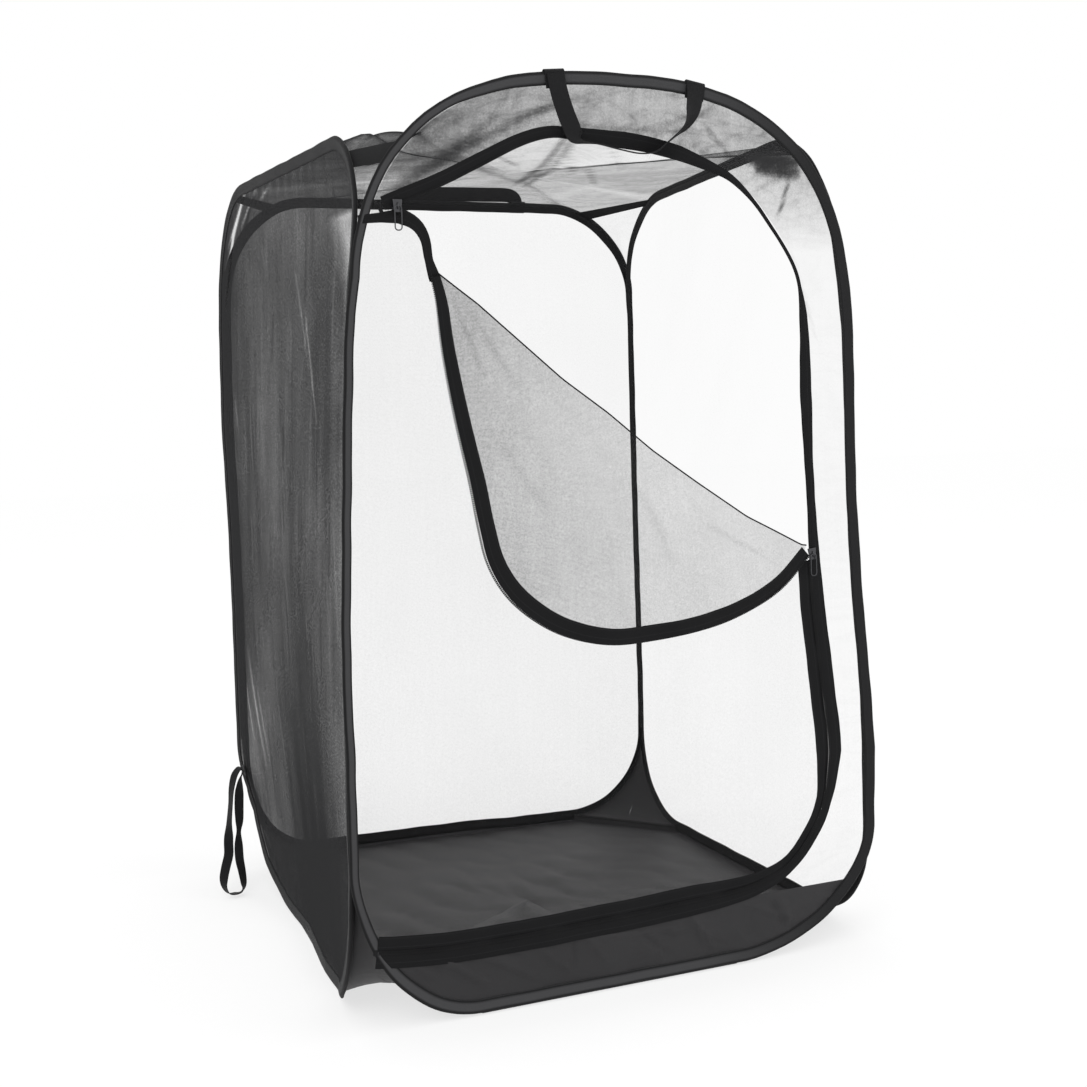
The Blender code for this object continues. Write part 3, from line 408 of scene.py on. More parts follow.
def ripples(points, seed, waves):
    """Soft random folds: waves of (length, height, angle, spread) summed at flat points."""
    rng = np.random.default_rng(seed)
    total = np.zeros(len(points))
    for length, height, angle, spread in waves:
        for _ in range(3):
            turn = angle + rng.uniform(-spread, spread)
            size = length * rng.uniform(0.75, 1.35)
            across = points @ np.array([math.cos(turn), math.sin(turn)])
            other = points @ np.array([-math.sin(turn), math.cos(turn)])
            bend = across + 0.25 * size * np.sin(other / (size * 2.3) + rng.uniform(0, 6))
            envelope = 0.6 + 0.4 * np.sin(other / (size * 1.9) + rng.uniform(0, 6))
            total += height / 3 * np.sin(2 * math.pi * bend / size + rng.uniform(0, 6)) * envelope
    return total


def crease(points, start, end, width, height):
    """A fold along a line that fades out towards its ends."""
    start, end = np.asarray(start, float), np.asarray(end, float)
    d = end - start
    t = ((points - start) @ d) / (d @ d)
    off = (points - start) @ np.array([-d[1], d[0]]) / np.linalg.norm(d)
    fade = np.clip(t * (1 - t) * 4, 0, 1) ** 0.6 * ((t > 0) & (t < 1))
    return height * fade * np.exp(-((off / width) ** 2))


def fold_with(item):
    """Gives a quarter of the roof or floor, or a post seam, its own copy of its mesh."""
    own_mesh(item)


# Materials
def add(tree, kind, inputs=None, **settings):
    node = tree.nodes.new(kind)
    for key, value in settings.items():
        setattr(node, key, value)
    for key, value in (inputs or {}).items():
        if isinstance(value, bpy.types.NodeSocket):
            tree.links.new(value, node.inputs[key])
        else:
            node.inputs[key].default_value = value
    return node


def calc(tree, operation, *values, clamp=False):
    """A maths node; each value is a number or a socket."""
    inputs = dict(enumerate(values))
    return add(tree, "ShaderNodeMath", inputs, operation=operation, use_clamp=clamp).outputs[0]


def make_group(name, inputs, outputs):
    group = bpy.data.node_groups.new(name, "ShaderNodeTree")
    for label, kind, value in inputs:
        socket = group.interface.new_socket(label, in_out="INPUT", socket_type=kind)
        if value is not None:
            socket.default_value = value
    for label, kind in outputs:
        group.interface.new_socket(label, in_out="OUTPUT", socket_type=kind)
    start = group.nodes.new("NodeGroupInput")
    end = group.nodes.new("NodeGroupOutput")
    return group, start, end


def weave_group():
    """Over-and-under threads from a UV in metres: height and a tone that varies by thread."""
    found = bpy.data.node_groups.get("Woven threads")
    if found:
        return found
    group, start, end = make_group(
        "Woven threads",
        [("Vector", "NodeSocketVector", None), ("Along", "NodeSocketFloat", 0.0006),
         ("Across", "NodeSocketFloat", 0.0006), ("Slant", "NodeSocketFloat", 0.0)],
        [("Height", "NodeSocketFloat"), ("Tone", "NodeSocketFloat")],
    )
    parts = add(group, "ShaderNodeSeparateXYZ", {0: start.outputs["Vector"]})
    u = calc(group, "DIVIDE", parts.outputs[0], start.outputs["Along"])
    v = calc(group, "DIVIDE", parts.outputs[1], start.outputs["Across"])
    v = calc(group, "ADD", v, calc(group, "MULTIPLY", u, start.outputs["Slant"]))
    wave_u = calc(group, "ABSOLUTE", calc(group, "SINE", calc(group, "MULTIPLY", u, math.pi)))
    wave_v = calc(group, "ABSOLUTE", calc(group, "SINE", calc(group, "MULTIPLY", v, math.pi)))
    cell = calc(group, "ADD", calc(group, "FLOOR", u), calc(group, "FLOOR", v))
    check = calc(group, "PINGPONG", cell, 1.0)
    height = add(group, "ShaderNodeMix", {0: check, 2: wave_u, 3: wave_v}).outputs[0]
    noise = add(group, "ShaderNodeTexNoise", {
        "Vector": start.outputs["Vector"], "Scale": 900.0, "Detail": 2.0})
    group.links.new(height, end.inputs["Height"])
    group.links.new(noise.outputs["Fac"], end.inputs["Tone"])
    return group


def stitch_group():
    """A row of stitches along U at a place across: 1 on the thread, 0 beside it."""
    found = bpy.data.node_groups.get("Stitch row")
    if found:
        return found
    group, start, end = make_group(
        "Stitch row",
        [("Vector", "NodeSocketVector", None), ("Place", "NodeSocketFloat", 0.002),
         ("Pitch", "NodeSocketFloat", 0.0032), ("Width", "NodeSocketFloat", 0.00035)],
        [("Mask", "NodeSocketFloat")],
    )
    parts = add(group, "ShaderNodeSeparateXYZ", {0: start.outputs["Vector"]})
    off = calc(group, "ABSOLUTE", calc(group, "SUBTRACT", parts.outputs[1], start.outputs["Place"]))
    near = calc(group, "SUBTRACT", 1.0, calc(group, "DIVIDE", off, start.outputs["Width"]), clamp=True)
    step = calc(group, "FRACT", calc(group, "DIVIDE", parts.outputs[0], start.outputs["Pitch"]))
    dash = calc(group, "LESS_THAN", calc(group, "ABSOLUTE", calc(group, "SUBTRACT", step, 0.5)), 0.38)
    group.links.new(calc(group, "MULTIPLY", near, dash), end.inputs["Mask"])
    return group


def use_group(tree, group, **inputs):
    node = tree.nodes.new("ShaderNodeGroup")
    node.node_tree = group
    for key, value in inputs.items():
        if isinstance(value, bpy.types.NodeSocket):
            tree.links.new(value, node.inputs[key])
        else:
            node.inputs[key].default_value = value
    return node


def new_material(name):
    material = bpy.data.materials.new(name)
    material.use_nodes = True
    tree = material.node_tree
    tree.nodes.clear()
    output = tree.nodes.new("ShaderNodeOutputMaterial")
    return material, tree, output


def woven_material(name, color, along, across, slant=0.0, depth=0.00012, stitches=(), rough=0.72,
                   sheen=0.25, patch=0.25, light=1.6):
    """Woven black cloth or tape, with optional stitch rows at places across its UV."""
    found = bpy.data.materials.get(name)
    if found:
        return found
    material, tree, output = new_material(name)
    uv = add(tree, "ShaderNodeUVMap", uv_map="UVMap").outputs[0]
    weave = use_group(tree, weave_group(), Vector=uv, Along=along, Across=across, Slant=slant)
    coords = add(tree, "ShaderNodeTexCoord").outputs["Object"]
    wear = add(tree, "ShaderNodeTexNoise", {
        "Vector": coords, "Scale": 14.0, "Detail": 5.0, "Roughness": 0.6})
    tone = calc(tree, "ADD", calc(tree, "MULTIPLY", weave.outputs["Height"], 0.45),
                calc(tree, "MULTIPLY", weave.outputs["Tone"], 0.35))
    tone = calc(tree, "ADD", tone, calc(tree, "MULTIPLY", wear.outputs["Fac"], patch), clamp=True)
    dark = tuple(c * 0.5 for c in color) + (1,)
    bright = tuple(c * light for c in color) + (1,)
    base = add(tree, "ShaderNodeMix", {0: tone, 6: dark, 7: bright}, data_type="RGBA").outputs[2]
    height = weave.outputs["Height"]
    for place, pitch in stitches:
        row = use_group(tree, stitch_group(), Vector=uv, Place=place, Pitch=pitch).outputs["Mask"]
        thread = tuple(c * 3.0 + 0.004 for c in color) + (1,)
        base = add(tree, "ShaderNodeMix", {0: row, 6: base, 7: thread}, data_type="RGBA").outputs[2]
        height = calc(tree, "ADD", height, calc(tree, "MULTIPLY", row, 2.0))
    bump = add(tree, "ShaderNodeBump", {"Height": height, "Distance": depth, "Strength": 0.7})
    shader = add(tree, "ShaderNodeBsdfPrincipled", {
        "Base Color": base, "Roughness": rough, "Sheen Weight": sheen * 0.12, "Sheen Roughness": 0.45,
        "Specular IOR Level": 0.12, "Normal": bump.outputs[0],
    })
    tree.links.new(shader.outputs[0], output.inputs[0])
    return material


def net_material(name, density, power, streak, folds):
    """Fine black net: holes and threads that close up when it is seen at a slant."""
    found = bpy.data.materials.get(name)
    if found:
        return found
    material, tree, output = new_material(name)
    uv = add(tree, "ShaderNodeUVMap", uv_map="UVMap").outputs[0]
    parts = add(tree, "ShaderNodeSeparateXYZ", {0: uv})
    pitch = cloth().net_pitch
    lines = []
    for k in range(2):
        phase = calc(tree, "MULTIPLY", parts.outputs[k], math.pi / pitch)
        wave = calc(tree, "ABSOLUTE", calc(tree, "COSINE", phase))
        lines.append(calc(tree, "POWER", wave, 6.0))
    threads = calc(tree, "MAXIMUM", lines[0], lines[1])
    coords = add(tree, "ShaderNodeTexCoord").outputs["Object"]
    cloud = add(tree, "ShaderNodeTexNoise", {
        "Vector": coords, "Scale": 9.0, "Detail": 4.0, "Roughness": 0.55})
    grain = add(tree, "ShaderNodeTexNoise", {"Vector": coords, "Scale": 520.0, "Detail": 1.0})

    def spread(noise, amount):
        return calc(tree, "MULTIPLY", calc(tree, "SUBTRACT", noise.outputs["Fac"], 0.5), amount)

    local = calc(tree, "MULTIPLY_ADD", calc(tree, "SUBTRACT", cloud.outputs["Fac"], 0.5), 0.5, 1.0)
    local = calc(tree, "ADD", local, spread(grain, 1.1))
    if streak:
        mapping = add(tree, "ShaderNodeMapping", {"Vector": uv, "Scale": (150.0, 5.0, 1.0)})
        lined = add(tree, "ShaderNodeTexNoise", {
            "Vector": mapping.outputs[0], "Scale": 1.0, "Detail": 3.0})
        local = calc(tree, "ADD", local, spread(lined, streak))
    if folds:
        bent = add(tree, "ShaderNodeMapping", {
            "Vector": coords, "Rotation": (0.0, 0.5, 0.4), "Scale": (9.0, 16.0, 26.0)})
        ridge = add(tree, "ShaderNodeTexNoise", {"Vector": bent.outputs[0], "Scale": 1.0, "Detail": 5.0,
                                                 "Roughness": 0.55, "Distortion": 1.2}).outputs["Fac"]
        ridge = calc(tree, "ABSOLUTE", calc(tree, "SUBTRACT", ridge, 0.5))
        ridge = calc(tree, "EXPONENT", calc(tree, "MULTIPLY", ridge, -22.0))
        local = calc(tree, "ADD", local, calc(tree, "MULTIPLY", ridge, folds))
    facing = add(tree, "ShaderNodeLayerWeight", {"Blend": 0.5}).outputs["Facing"]
    cosine = calc(tree, "MAXIMUM", calc(tree, "SUBTRACT", 1.0, facing), 0.05)
    slant = calc(tree, "POWER", cosine, power)
    own = add(tree, "ShaderNodeAttribute", attribute_name="Load").outputs["Fac"]
    load = calc(tree, "MULTIPLY", calc(tree, "MULTIPLY", local, density), own)
    load = calc(tree, "MAXIMUM", load, 0.0)
    clear = calc(tree, "EXPONENT", calc(tree, "MULTIPLY", calc(tree, "DIVIDE", load, slant), -1.0))
    cover = calc(tree, "SUBTRACT", 1.0, clear, clamp=True)
    shade = calc(tree, "MULTIPLY_ADD", threads, 1.1, 0.42)
    solid = calc(tree, "POWER", cover, 2.0)
    shade = add(tree, "ShaderNodeMix", {0: solid, 2: shade, 3: 1.0}).outputs[0]
    alpha = calc(tree, "MULTIPLY", cover, shade, clamp=True)
    shader = add(tree, "ShaderNodeBsdfPrincipled", {
        "Base Color": NET_THREAD, "Roughness": 0.9, "Specular IOR Level": 0.0,
    })
    clear_shader = add(tree, "ShaderNodeBsdfTransparent")
    mix = add(tree, "ShaderNodeMixShader", {0: alpha, 1: clear_shader.outputs[0], 2: shader.outputs[0]})
    tree.links.new(mix.outputs[0], output.inputs[0])
    return material


def metal_material(name, color, rough):
    found = bpy.data.materials.get(name)
    if found:
        return found
    material, tree, output = new_material(name)
    coords = add(tree, "ShaderNodeTexCoord").outputs["Object"]
    noise = add(tree, "ShaderNodeTexNoise", {"Vector": coords, "Scale": 260.0, "Detail": 3.0})
    roughness = calc(tree, "MULTIPLY_ADD", noise.outputs["Fac"], 0.2, rough)
    tone = add(tree, "ShaderNodeMix", {
        0: noise.outputs["Fac"], 6: tuple(c * 0.7 for c in color) + (1,), 7: (*color, 1),
    }, data_type="RGBA").outputs[2]
    shader = add(tree, "ShaderNodeBsdfPrincipled", {
        "Base Color": tone, "Roughness": roughness, "Metallic": 1.0})
    tree.links.new(shader.outputs[0], output.inputs[0])
    return material


def plastic_material(name, color, rough):
    found = bpy.data.materials.get(name)
    if found:
        return found
    material, tree, output = new_material(name)
    coords = add(tree, "ShaderNodeTexCoord").outputs["Object"]
    noise = add(tree, "ShaderNodeTexNoise", {"Vector": coords, "Scale": 700.0, "Detail": 2.0})
    bump = add(tree, "ShaderNodeBump", {"Height": noise.outputs["Fac"], "Distance": 0.00005})
    shader = add(tree, "ShaderNodeBsdfPrincipled", {
        "Base Color": (*color, 1), "Roughness": rough, "Specular IOR Level": 0.15, "Normal": bump.outputs[0],
    })
    tree.links.new(shader.outputs[0], output.inputs[0])
    return material


def zip_coil_material():
    return plastic_material("Zip coil", (0.006, 0.006, 0.0065), 0.5)


def floor_material():
    """Close-woven dark cloth with soft creases and a faint silky sheen."""
    found = bpy.data.materials.get("Floor cloth")
    if found:
        return found
    material, tree, output = new_material("Floor cloth")
    uv = add(tree, "ShaderNodeUVMap", uv_map="UVMap").outputs[0]
    weave = use_group(tree, weave_group(), Vector=uv, Along=0.00055, Across=0.00055)
    coords = add(tree, "ShaderNodeTexCoord").outputs["Object"]
    cloud = add(tree, "ShaderNodeTexNoise", {
        "Vector": coords, "Scale": 5.0, "Detail": 6.0, "Roughness": 0.6, "Distortion": 0.4})
    creases = add(tree, "ShaderNodeTexNoise", {
        "Vector": coords, "Scale": 11.0, "Detail": 4.0, "Roughness": 0.62}, noise_type="RIDGED_MULTIFRACTAL")
    threads = weave.outputs["Height"]
    tone = calc(tree, "MULTIPLY_ADD", cloud.outputs["Fac"], 0.8,
                calc(tree, "MULTIPLY", threads, 0.25), clamp=True)
    base = add(tree, "ShaderNodeMix", {
        0: tone, 6: (0.005, 0.0047, 0.0052, 1), 7: (0.028, 0.027, 0.029, 1)}, data_type="RGBA").outputs[2]
    height = calc(tree, "MULTIPLY_ADD", creases.outputs["Fac"], 1.0, calc(tree, "MULTIPLY", threads, 0.05))
    bump = add(tree, "ShaderNodeBump", {"Height": height, "Distance": 0.005, "Strength": 0.5})
    shader = add(tree, "ShaderNodeBsdfPrincipled", {
        "Base Color": base, "Roughness": 0.5, "Sheen Weight": 0.04, "Sheen Roughness": 0.35,
        "Specular IOR Level": 0.32, "Normal": bump.outputs[0],
    })
    tree.links.new(shader.outputs[0], output.inputs[0])
    return material


def dress(item, material):
    item.data.materials.clear()
    item.data.materials.append(material)
    return item


# Front wall lines: across from its middle, up from the ground
ZIP_BOTTOM = 0.080
ZIP_KNEE = (0.2305, 0.447)
ZIP_LOW_CORNER = (0.2565, 0.205)
CLOSED_LINE = (
    (-0.281, 0.0835), (-0.2625, 0.0808), (-0.2154, 0.0762), (-0.1615, 0.0749), (-0.106, 0.0750),
    (-0.0489, 0.0763), (0.0098, 0.0775), (0.0702, 0.0802), (0.130, 0.0830), (0.1669, 0.0905),
    (0.1969, 0.1045), (0.2225, 0.1330), (0.2400, 0.1700), (0.2462, 0.2247), (0.2425, 0.2815),
    (0.2375, 0.3384), (0.2325, 0.3949), (0.2305, 0.4396),
)
OPEN_BAND = (
    (0.2350, 0.4750), (0.2343, 0.5065), (0.2322, 0.5622), (0.2301, 0.6178), (0.2300, 0.6620),
    (0.2283, 0.7100), (0.2245, 0.7437), (0.2143, 0.7694), (0.1973, 0.7948), (0.1795, 0.8184),
    (0.1631, 0.8375), (0.1393, 0.8580), (0.1180, 0.8689), (0.0790, 0.8817), (0.0365, 0.8906),
    (-0.0058, 0.8951), (-0.0472, 0.8985), (-0.0751, 0.8985), (-0.1073, 0.8889), (-0.1490, 0.8683),
    (-0.1920, 0.8471), (-0.2339, 0.8302), (-0.2546, 0.8219),
)
BAND_WIDTHS = (
    (-0.281, 0.0835, 1.0), (0.0702, 0.08, 1.05), (0.1387, 0.0825, 0.85), (0.1969, 0.104, 0.60),
    (0.2400, 0.170, 0.62), (0.2462, 0.2247, 1.0), (0.2325, 0.395, 1.0), (0.2343, 0.5065, 0.66),
    (0.2322, 0.5622, 0.72), (0.2301, 0.6178, 0.95), (0.2304, 0.6620, 0.85), (0.2283, 0.7139, 0.62),
    (0.2245, 0.7437, 0.27), (0.1973, 0.7948, 0.24), (0.1661, 0.8375, 0.28), (0.1393, 0.8580, 0.5),
    (0.0790, 0.8817, 1.0), (0.0100, 0.894, 1.1), (-0.0600, 0.8985, 0.75), (-0.1490, 0.8683, 0.85),
    (-0.2546, 0.8219, 0.85),
)
CLOSED_WIDTHS = BAND_WIDTHS[:7]
OPEN_WIDTHS = BAND_WIDTHS[7:]
NET_EDGE = 0.0035
NET_INSET = 0.006
SEAM_HEIGHT = 0.812
SEAM_GAP = 0.0003
SILL_HEIGHT = ZIP_BOTTOM - NET_INSET
FOLD_START = (-0.199, 0.755)
FOLD_END = (0.2255, 0.4570)
FOLD_SAG = (
    (0, 0), (0.10, 0.001), (0.33, 0.0120), (0.45, 0.0125), (0.576, 0.0170),
    (0.70, 0.0165), (0.84, 0.0145), (0.99, 0.003), (1, 0),
)
FLAP_DEPTH = 0.2270
FLAP_SHARES = (
    (0.00, 0.02), (0.04, 0.102), (0.100, 0.257), (0.190, 0.460), (0.288, 0.666), (0.350, 0.806),
    (0.407, 0.918), (0.476, 0.985), (0.558, 1.000), (0.628, 0.975), (0.702, 0.909),
    (0.767, 0.808), (0.856, 0.637), (0.923, 0.469), (0.979, 0.257), (1.004, 0.030),
)
DROOP = ((-0.2835, 0.8062), (-0.2499, 0.8093), (-0.2346, 0.8097), (-0.2194, 0.8021), (-0.2105, 0.7875),
         (-0.2075, 0.7678), (-0.2012, 0.7480))
DROOP_WIDTHS = ((-0.2835, 0.8062, 0.5), (-0.2600, 0.8080, 0.6), (-0.2346, 0.8097, 0.95),
                (-0.2105, 0.7875, 0.62), (-0.208, 0.7678, 0.55), (-0.202, 0.753, 0.75))
FLAP_TAPE_WIDTH = 0.0165
TAPE_WIDTH = 0.0164
TAPE_OFFSET = 0.0079
TAPE_THICKNESS = 0.0008
CHAIN_WIDTH = 0.0046
TAPE_LEVEL = 0.0012
CHAIN_LEVEL = 0.0016
SLIDER_LEVEL = 0.0042
FLAP_TEETH_LEVEL = 0.0042
OPEN_TEETH_WIDTH = CHAIN_WIDTH * 0.45
UPPER_SLIDER = (-0.2385, 0.820)
INNER_FACE = -0.0033
WIRE_RADIUS = 0.0010


def zip_closed():
    """The zipped-up line of teeth: along the bottom and up the right side."""
    return smooth_line(CLOSED_LINE, 4)


def zip_open():
    """The open line of teeth over the top, from the lower slider to the upper left end."""
    middle = smooth_line(OPEN_BAND, 4)
    inner = beside(middle, 0.0072 * widths_along(middle, OPEN_WIDTHS))
    return np.vstack([CLOSED_LINE[-1:], inner])


def widths_along(line, anchors):
    """A width share at each point of a line, from (across, up, share) anchors near it."""
    at = [int(np.argmin(np.linalg.norm(line - np.array(anchor[:2]), axis=1)))
          for anchor in anchors]
    order = np.argsort(at)
    return np.interp(np.arange(len(line)), np.array(at)[order], np.array([anchors[k][2] for k in order]))


def fold_frame():
    """The fold's start, its whole run, its length, and the direction down across it."""
    start = np.array(FOLD_START)
    fold = np.array(FOLD_END) - start
    length = np.linalg.norm(fold)
    return start, fold, length, np.array([fold[1], -fold[0]]) / length


def fold_shift(points):
    """How the hanging fold sags: the sheets near it move down across the wall."""
    start, fold, length, down = fold_frame()
    along = (points - start) @ fold / length**2
    off = (points - start) @ down
    places, amounts = np.array(FOLD_SAG).T
    sag = np.interp(along, places, amounts, left=0, right=0)
    sag = sag * np.exp(-(np.maximum(off, 0) / 0.06) ** 2)
    return points + sag[:, None] * down


def flap_edge():
    """The folded corner's free edge, from upper left to lower right."""
    start, fold, _, down = fold_frame()
    points = [start + fold * a + down * FLAP_DEPTH * b for a, b in FLAP_SHARES]
    return resample(smooth_line(points, 6), 0.005)


def flap_out(points):
    """How far the folded corner stands out from the wall at places on it."""
    start, fold, length, down = fold_frame()
    off = (points - start) @ down
    along = (points - start) @ fold / length**2
    swell = 0.006 * np.sin(np.clip(along, 0, 1) * math.pi)
    swell = swell * (1 - np.exp(-np.maximum(off, 0) / 0.03))
    waves = ripples(points, 5, ((0.09, 0.0035, 0.35, 0.25), (0.035, 0.0007, 0.2, 0.5)))
    return 0.0035 + swell + waves * np.clip(off / 0.05, 0, 1) * 0.8


def wall_outline(hoop):
    return beside(hoop.line(cloth().hoop_steps, 0.008), NET_EDGE, True)


def cut_outline(outline, height, below):
    kept = []
    for a, b in zip(outline, np.roll(outline, -1, 0)):
        a_in = (a[1] < height) == below
        b_in = (b[1] < height) == below
        if a_in:
            kept.append(tuple(a))
        if a_in != b_in:
            share = (height - a[1]) / (b[1] - a[1])
            kept.append((a[0] + (b[0] - a[0]) * share, height))
    return kept


# Pieces
def build_sleeves(hoops):
    """The folded cloth tape round each hoop, fuller over the wire and flatter at its sewn lips."""
    s = shape()
    wide, thick = s.sleeve_width / 2, s.sleeve_thickness / 2
    section = [
        (-wide, thick * 0.42), (-wide * 0.6, thick * 0.5), (-wide * 0.25, thick * 0.62),
        (wide * 0.15, thick * 0.88), (wide * 0.45, thick), (wide * 0.72, thick * 0.9),
        (wide * 0.92, thick * 0.5), (wide, 0),
    ]
    section += [(x, -y) for x, y in section[-2::-1]]
    material = sleeve_material()
    for seed, hoop in enumerate(hoops):
        line = hoop.line(cloth().hoop_steps, 0.006)
        count = len(line)
        run = np.arange(count) * 2 * math.pi / count
        wave = np.sin(run * 31 + seed) * 0.35 + np.sin(run * 53 + 2 * seed) * 0.25
        along = tangents(line, True)
        outward = np.stack([along[:, 1], -along[:, 0]], 1)
        spots = line + outward * (wave * 0.0006)[:, None]
        path = hoop.world(np.column_stack([spots, wave[::-1] * 0.0003]))
        along = tangents(path, True)
        wides = hoop.turn(np.column_stack([outward, wave * 0.05]))
        wides = unit(wides - along * np.sum(wides * along, 1, keepdims=True))
        thicks = unit(np.cross(wides, along))
        scale = sleeve_scale(hoop, line)
        moved = 1 if hoop.name in ("front", "left") else -0.2
        path = path + wides * ((1 - scale) * wide * moved)[:, None]
        mesh = sweep(f"Sleeve {hoop.name}", path, wides, thicks, section, True, 60, scale)
        item = new_object(f"Sleeve {hoop.name}", mesh, hoop.body)
        dress(item, material)
        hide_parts(f"sleeve_{hoop.name}")
        inside_sleeve = path + wides * (wide * 0.3 * scale)[:, None]
        wire = tube(f"Hoop wire {hoop.name}", inside_sleeve, WIRE_RADIUS, hoop.body, True, 6)
        dress(wire, metal_material("Spring steel", (0.32, 0.32, 0.33), 0.35))
        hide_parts(f"hoop_wire_{hoop.name}")


def build_post_seams(hoops):
    """The seams that join neighbouring walls along the posts, half to each wall."""
    for index, hoop in enumerate(hoops):
        before, after = hoops[index - 1], hoops[(index + 1) % 4]
        grids = []
        for pair, first in (((before, hoop), False), ((hoop, after), True)):
            low = max(pair[0].base("low_right"), pair[1].base("low_left")) - 0.03
            high = min(pair[0].base("top_right"), pair[1].base("top_left")) + 0.03
            rows = []
            for up in np.linspace(low, high, 60):
                end = "low" if up < 0.5 else "top"
                rows.append([wall.world([(*wall.at_height(f"{end}_{side}", up), INNER_FACE * 0.6)])[0]
                             for wall, side in zip(pair, ("right", "left"))])
            half = half_gusset(np.array(rows), first, 3)
            grids.append(half if first else half[:, ::-1])
        mesh = grid_parts(f"Post seams {hoop.name}", grids)
        item = new_object(f"Post seams {hoop.name}", mesh, hoop.body)
        dress(item, woven_material("Seam tape", *SEAM_TAPE))
        fold_with(item)


SEAM_TAPE = ((0.010, 0.010, 0.0105), 0.0006, 0.0006)


# How wide the sleeve shows on each wall's left and right post, as a share of its full width
POST_SHARES = {"front": (0.68, 0.95), "right": (0.8, 0.6), "back": (0.6, 0.6), "left": (0.7, 0.75)}


def sleeve_scale(hoop, line):
    """The sleeve's width along the hoop: narrower on the taut posts, full at the top and foot."""
    x, y = line[:, 0], line[:, 1]
    top = np.clip((y - hoop.top + 0.16) / 0.12, 0, 1)
    if hoop.name == "front":
        top = np.where(x > 0, top, np.clip((y - hoop.top + 0.035) / 0.03, 0, 1))
    low = np.clip((0.13 - y) / 0.10, 0, 1)
    left, right = POST_SHARES[hoop.name]
    post = np.where(x < 0, left, right)
    return post + (1 - post) * np.maximum(top, low)


def sleeve_material():
    """Thin black binding with a painted sheen: a grey band down the middle of each face, strongest on the
    front hoop, black over the wire and at the stitched edge.
    """
    found = bpy.data.materials.get("Sleeve tape")
    if found:
        return found
    material = woven_material("Sleeve tape", (0.008, 0.008, 0.0085), 0.0006, 0.0005,
                              stitches=((0.0022, 0.0032),), sheen=0.4, patch=0.2)
    tree = material.node_tree
    shader = next(n for n in tree.nodes if n.type == "BSDF_PRINCIPLED")
    base = shader.inputs["Base Color"].links[0].from_socket
    uv = next(n for n in tree.nodes if n.type == "UVMAP").outputs[0]
    across = add(tree, "ShaderNodeSeparateXYZ", {0: uv}).outputs[1]
    # Painted sheen: a grey band across the middle of each face of the binding, falling to the black base
    # colour towards the wire and the stitched edge.
    folded = calc(tree, "PINGPONG", across, shape().sleeve_width * 1.03)
    ramp = add(tree, "ShaderNodeMapRange", {0: folded, 1: 0.0008, 2: 0.0040, 3: 0.0, 4: 1.0},
               interpolation_type="SMOOTHSTEP")
    rim = add(tree, "ShaderNodeMapRange", {0: folded, 1: 0.0090, 2: 0.0118, 3: 1.0, 4: 0.0},
              interpolation_type="SMOOTHSTEP")
    painted_sheen = calc(tree, "MULTIPLY", ramp.outputs[0], rim.outputs[0])
    coords = add(tree, "ShaderNodeTexCoord").outputs["Object"]
    place = add(tree, "ShaderNodeSeparateXYZ", {0: coords}).outputs
    # The painted sheen is full only on the front hoop, and weaker further back and towards the right, where
    # less light falls.
    for axis, start, stop, least in ((0, 0.10, 0.27, 0.15), (1, 0.10, 0.25, 0.15), (1, -0.288, -0.275, 0.22)):
        fade = add(tree, "ShaderNodeMapRange", {0: place[axis], 1: start, 2: stop, 3: 1.0, 4: least})
        painted_sheen = calc(tree, "MULTIPLY", painted_sheen, fade.outputs[0])
    sheen_grey = add(tree, "ShaderNodeMix", {0: 0.62, 6: base, 7: (0.075, 0.075, 0.078, 1)},
               data_type="RGBA").outputs[2]
    sheened_base = add(tree, "ShaderNodeMix", {0: painted_sheen, 6: base, 7: sheen_grey}, data_type="RGBA").outputs[2]
    tree.links.new(sheened_base, shader.inputs["Base Color"])
    return material


NET_THREAD = (0.03, 0.03, 0.0309, 1)
# Each net's density, how fast it closes at a slant, and how streaked and how folded it is
NET_LOOKS = {
    "left": (0.115, 2.0, 0.25, 0.0),
    "right": (0.007, 2.2, 0.2, 0.0),
    "back": (0.076, 2.2, 0.2, 0.0),
    "door": (0.070, 2.2, 0.3, 0.0),
    "surround": (0.36, 1.5, 0.7, 0.5),
    "flap": (0.19, 1.6, 0.3, 0.12),
    "roof": (0.085, 1.1, 0.3, 0.35),
}


def net_look(key):
    density, power, streak, folds = NET_LOOKS[key]
    return net_material(f"Net {key}", density, power, streak, folds)


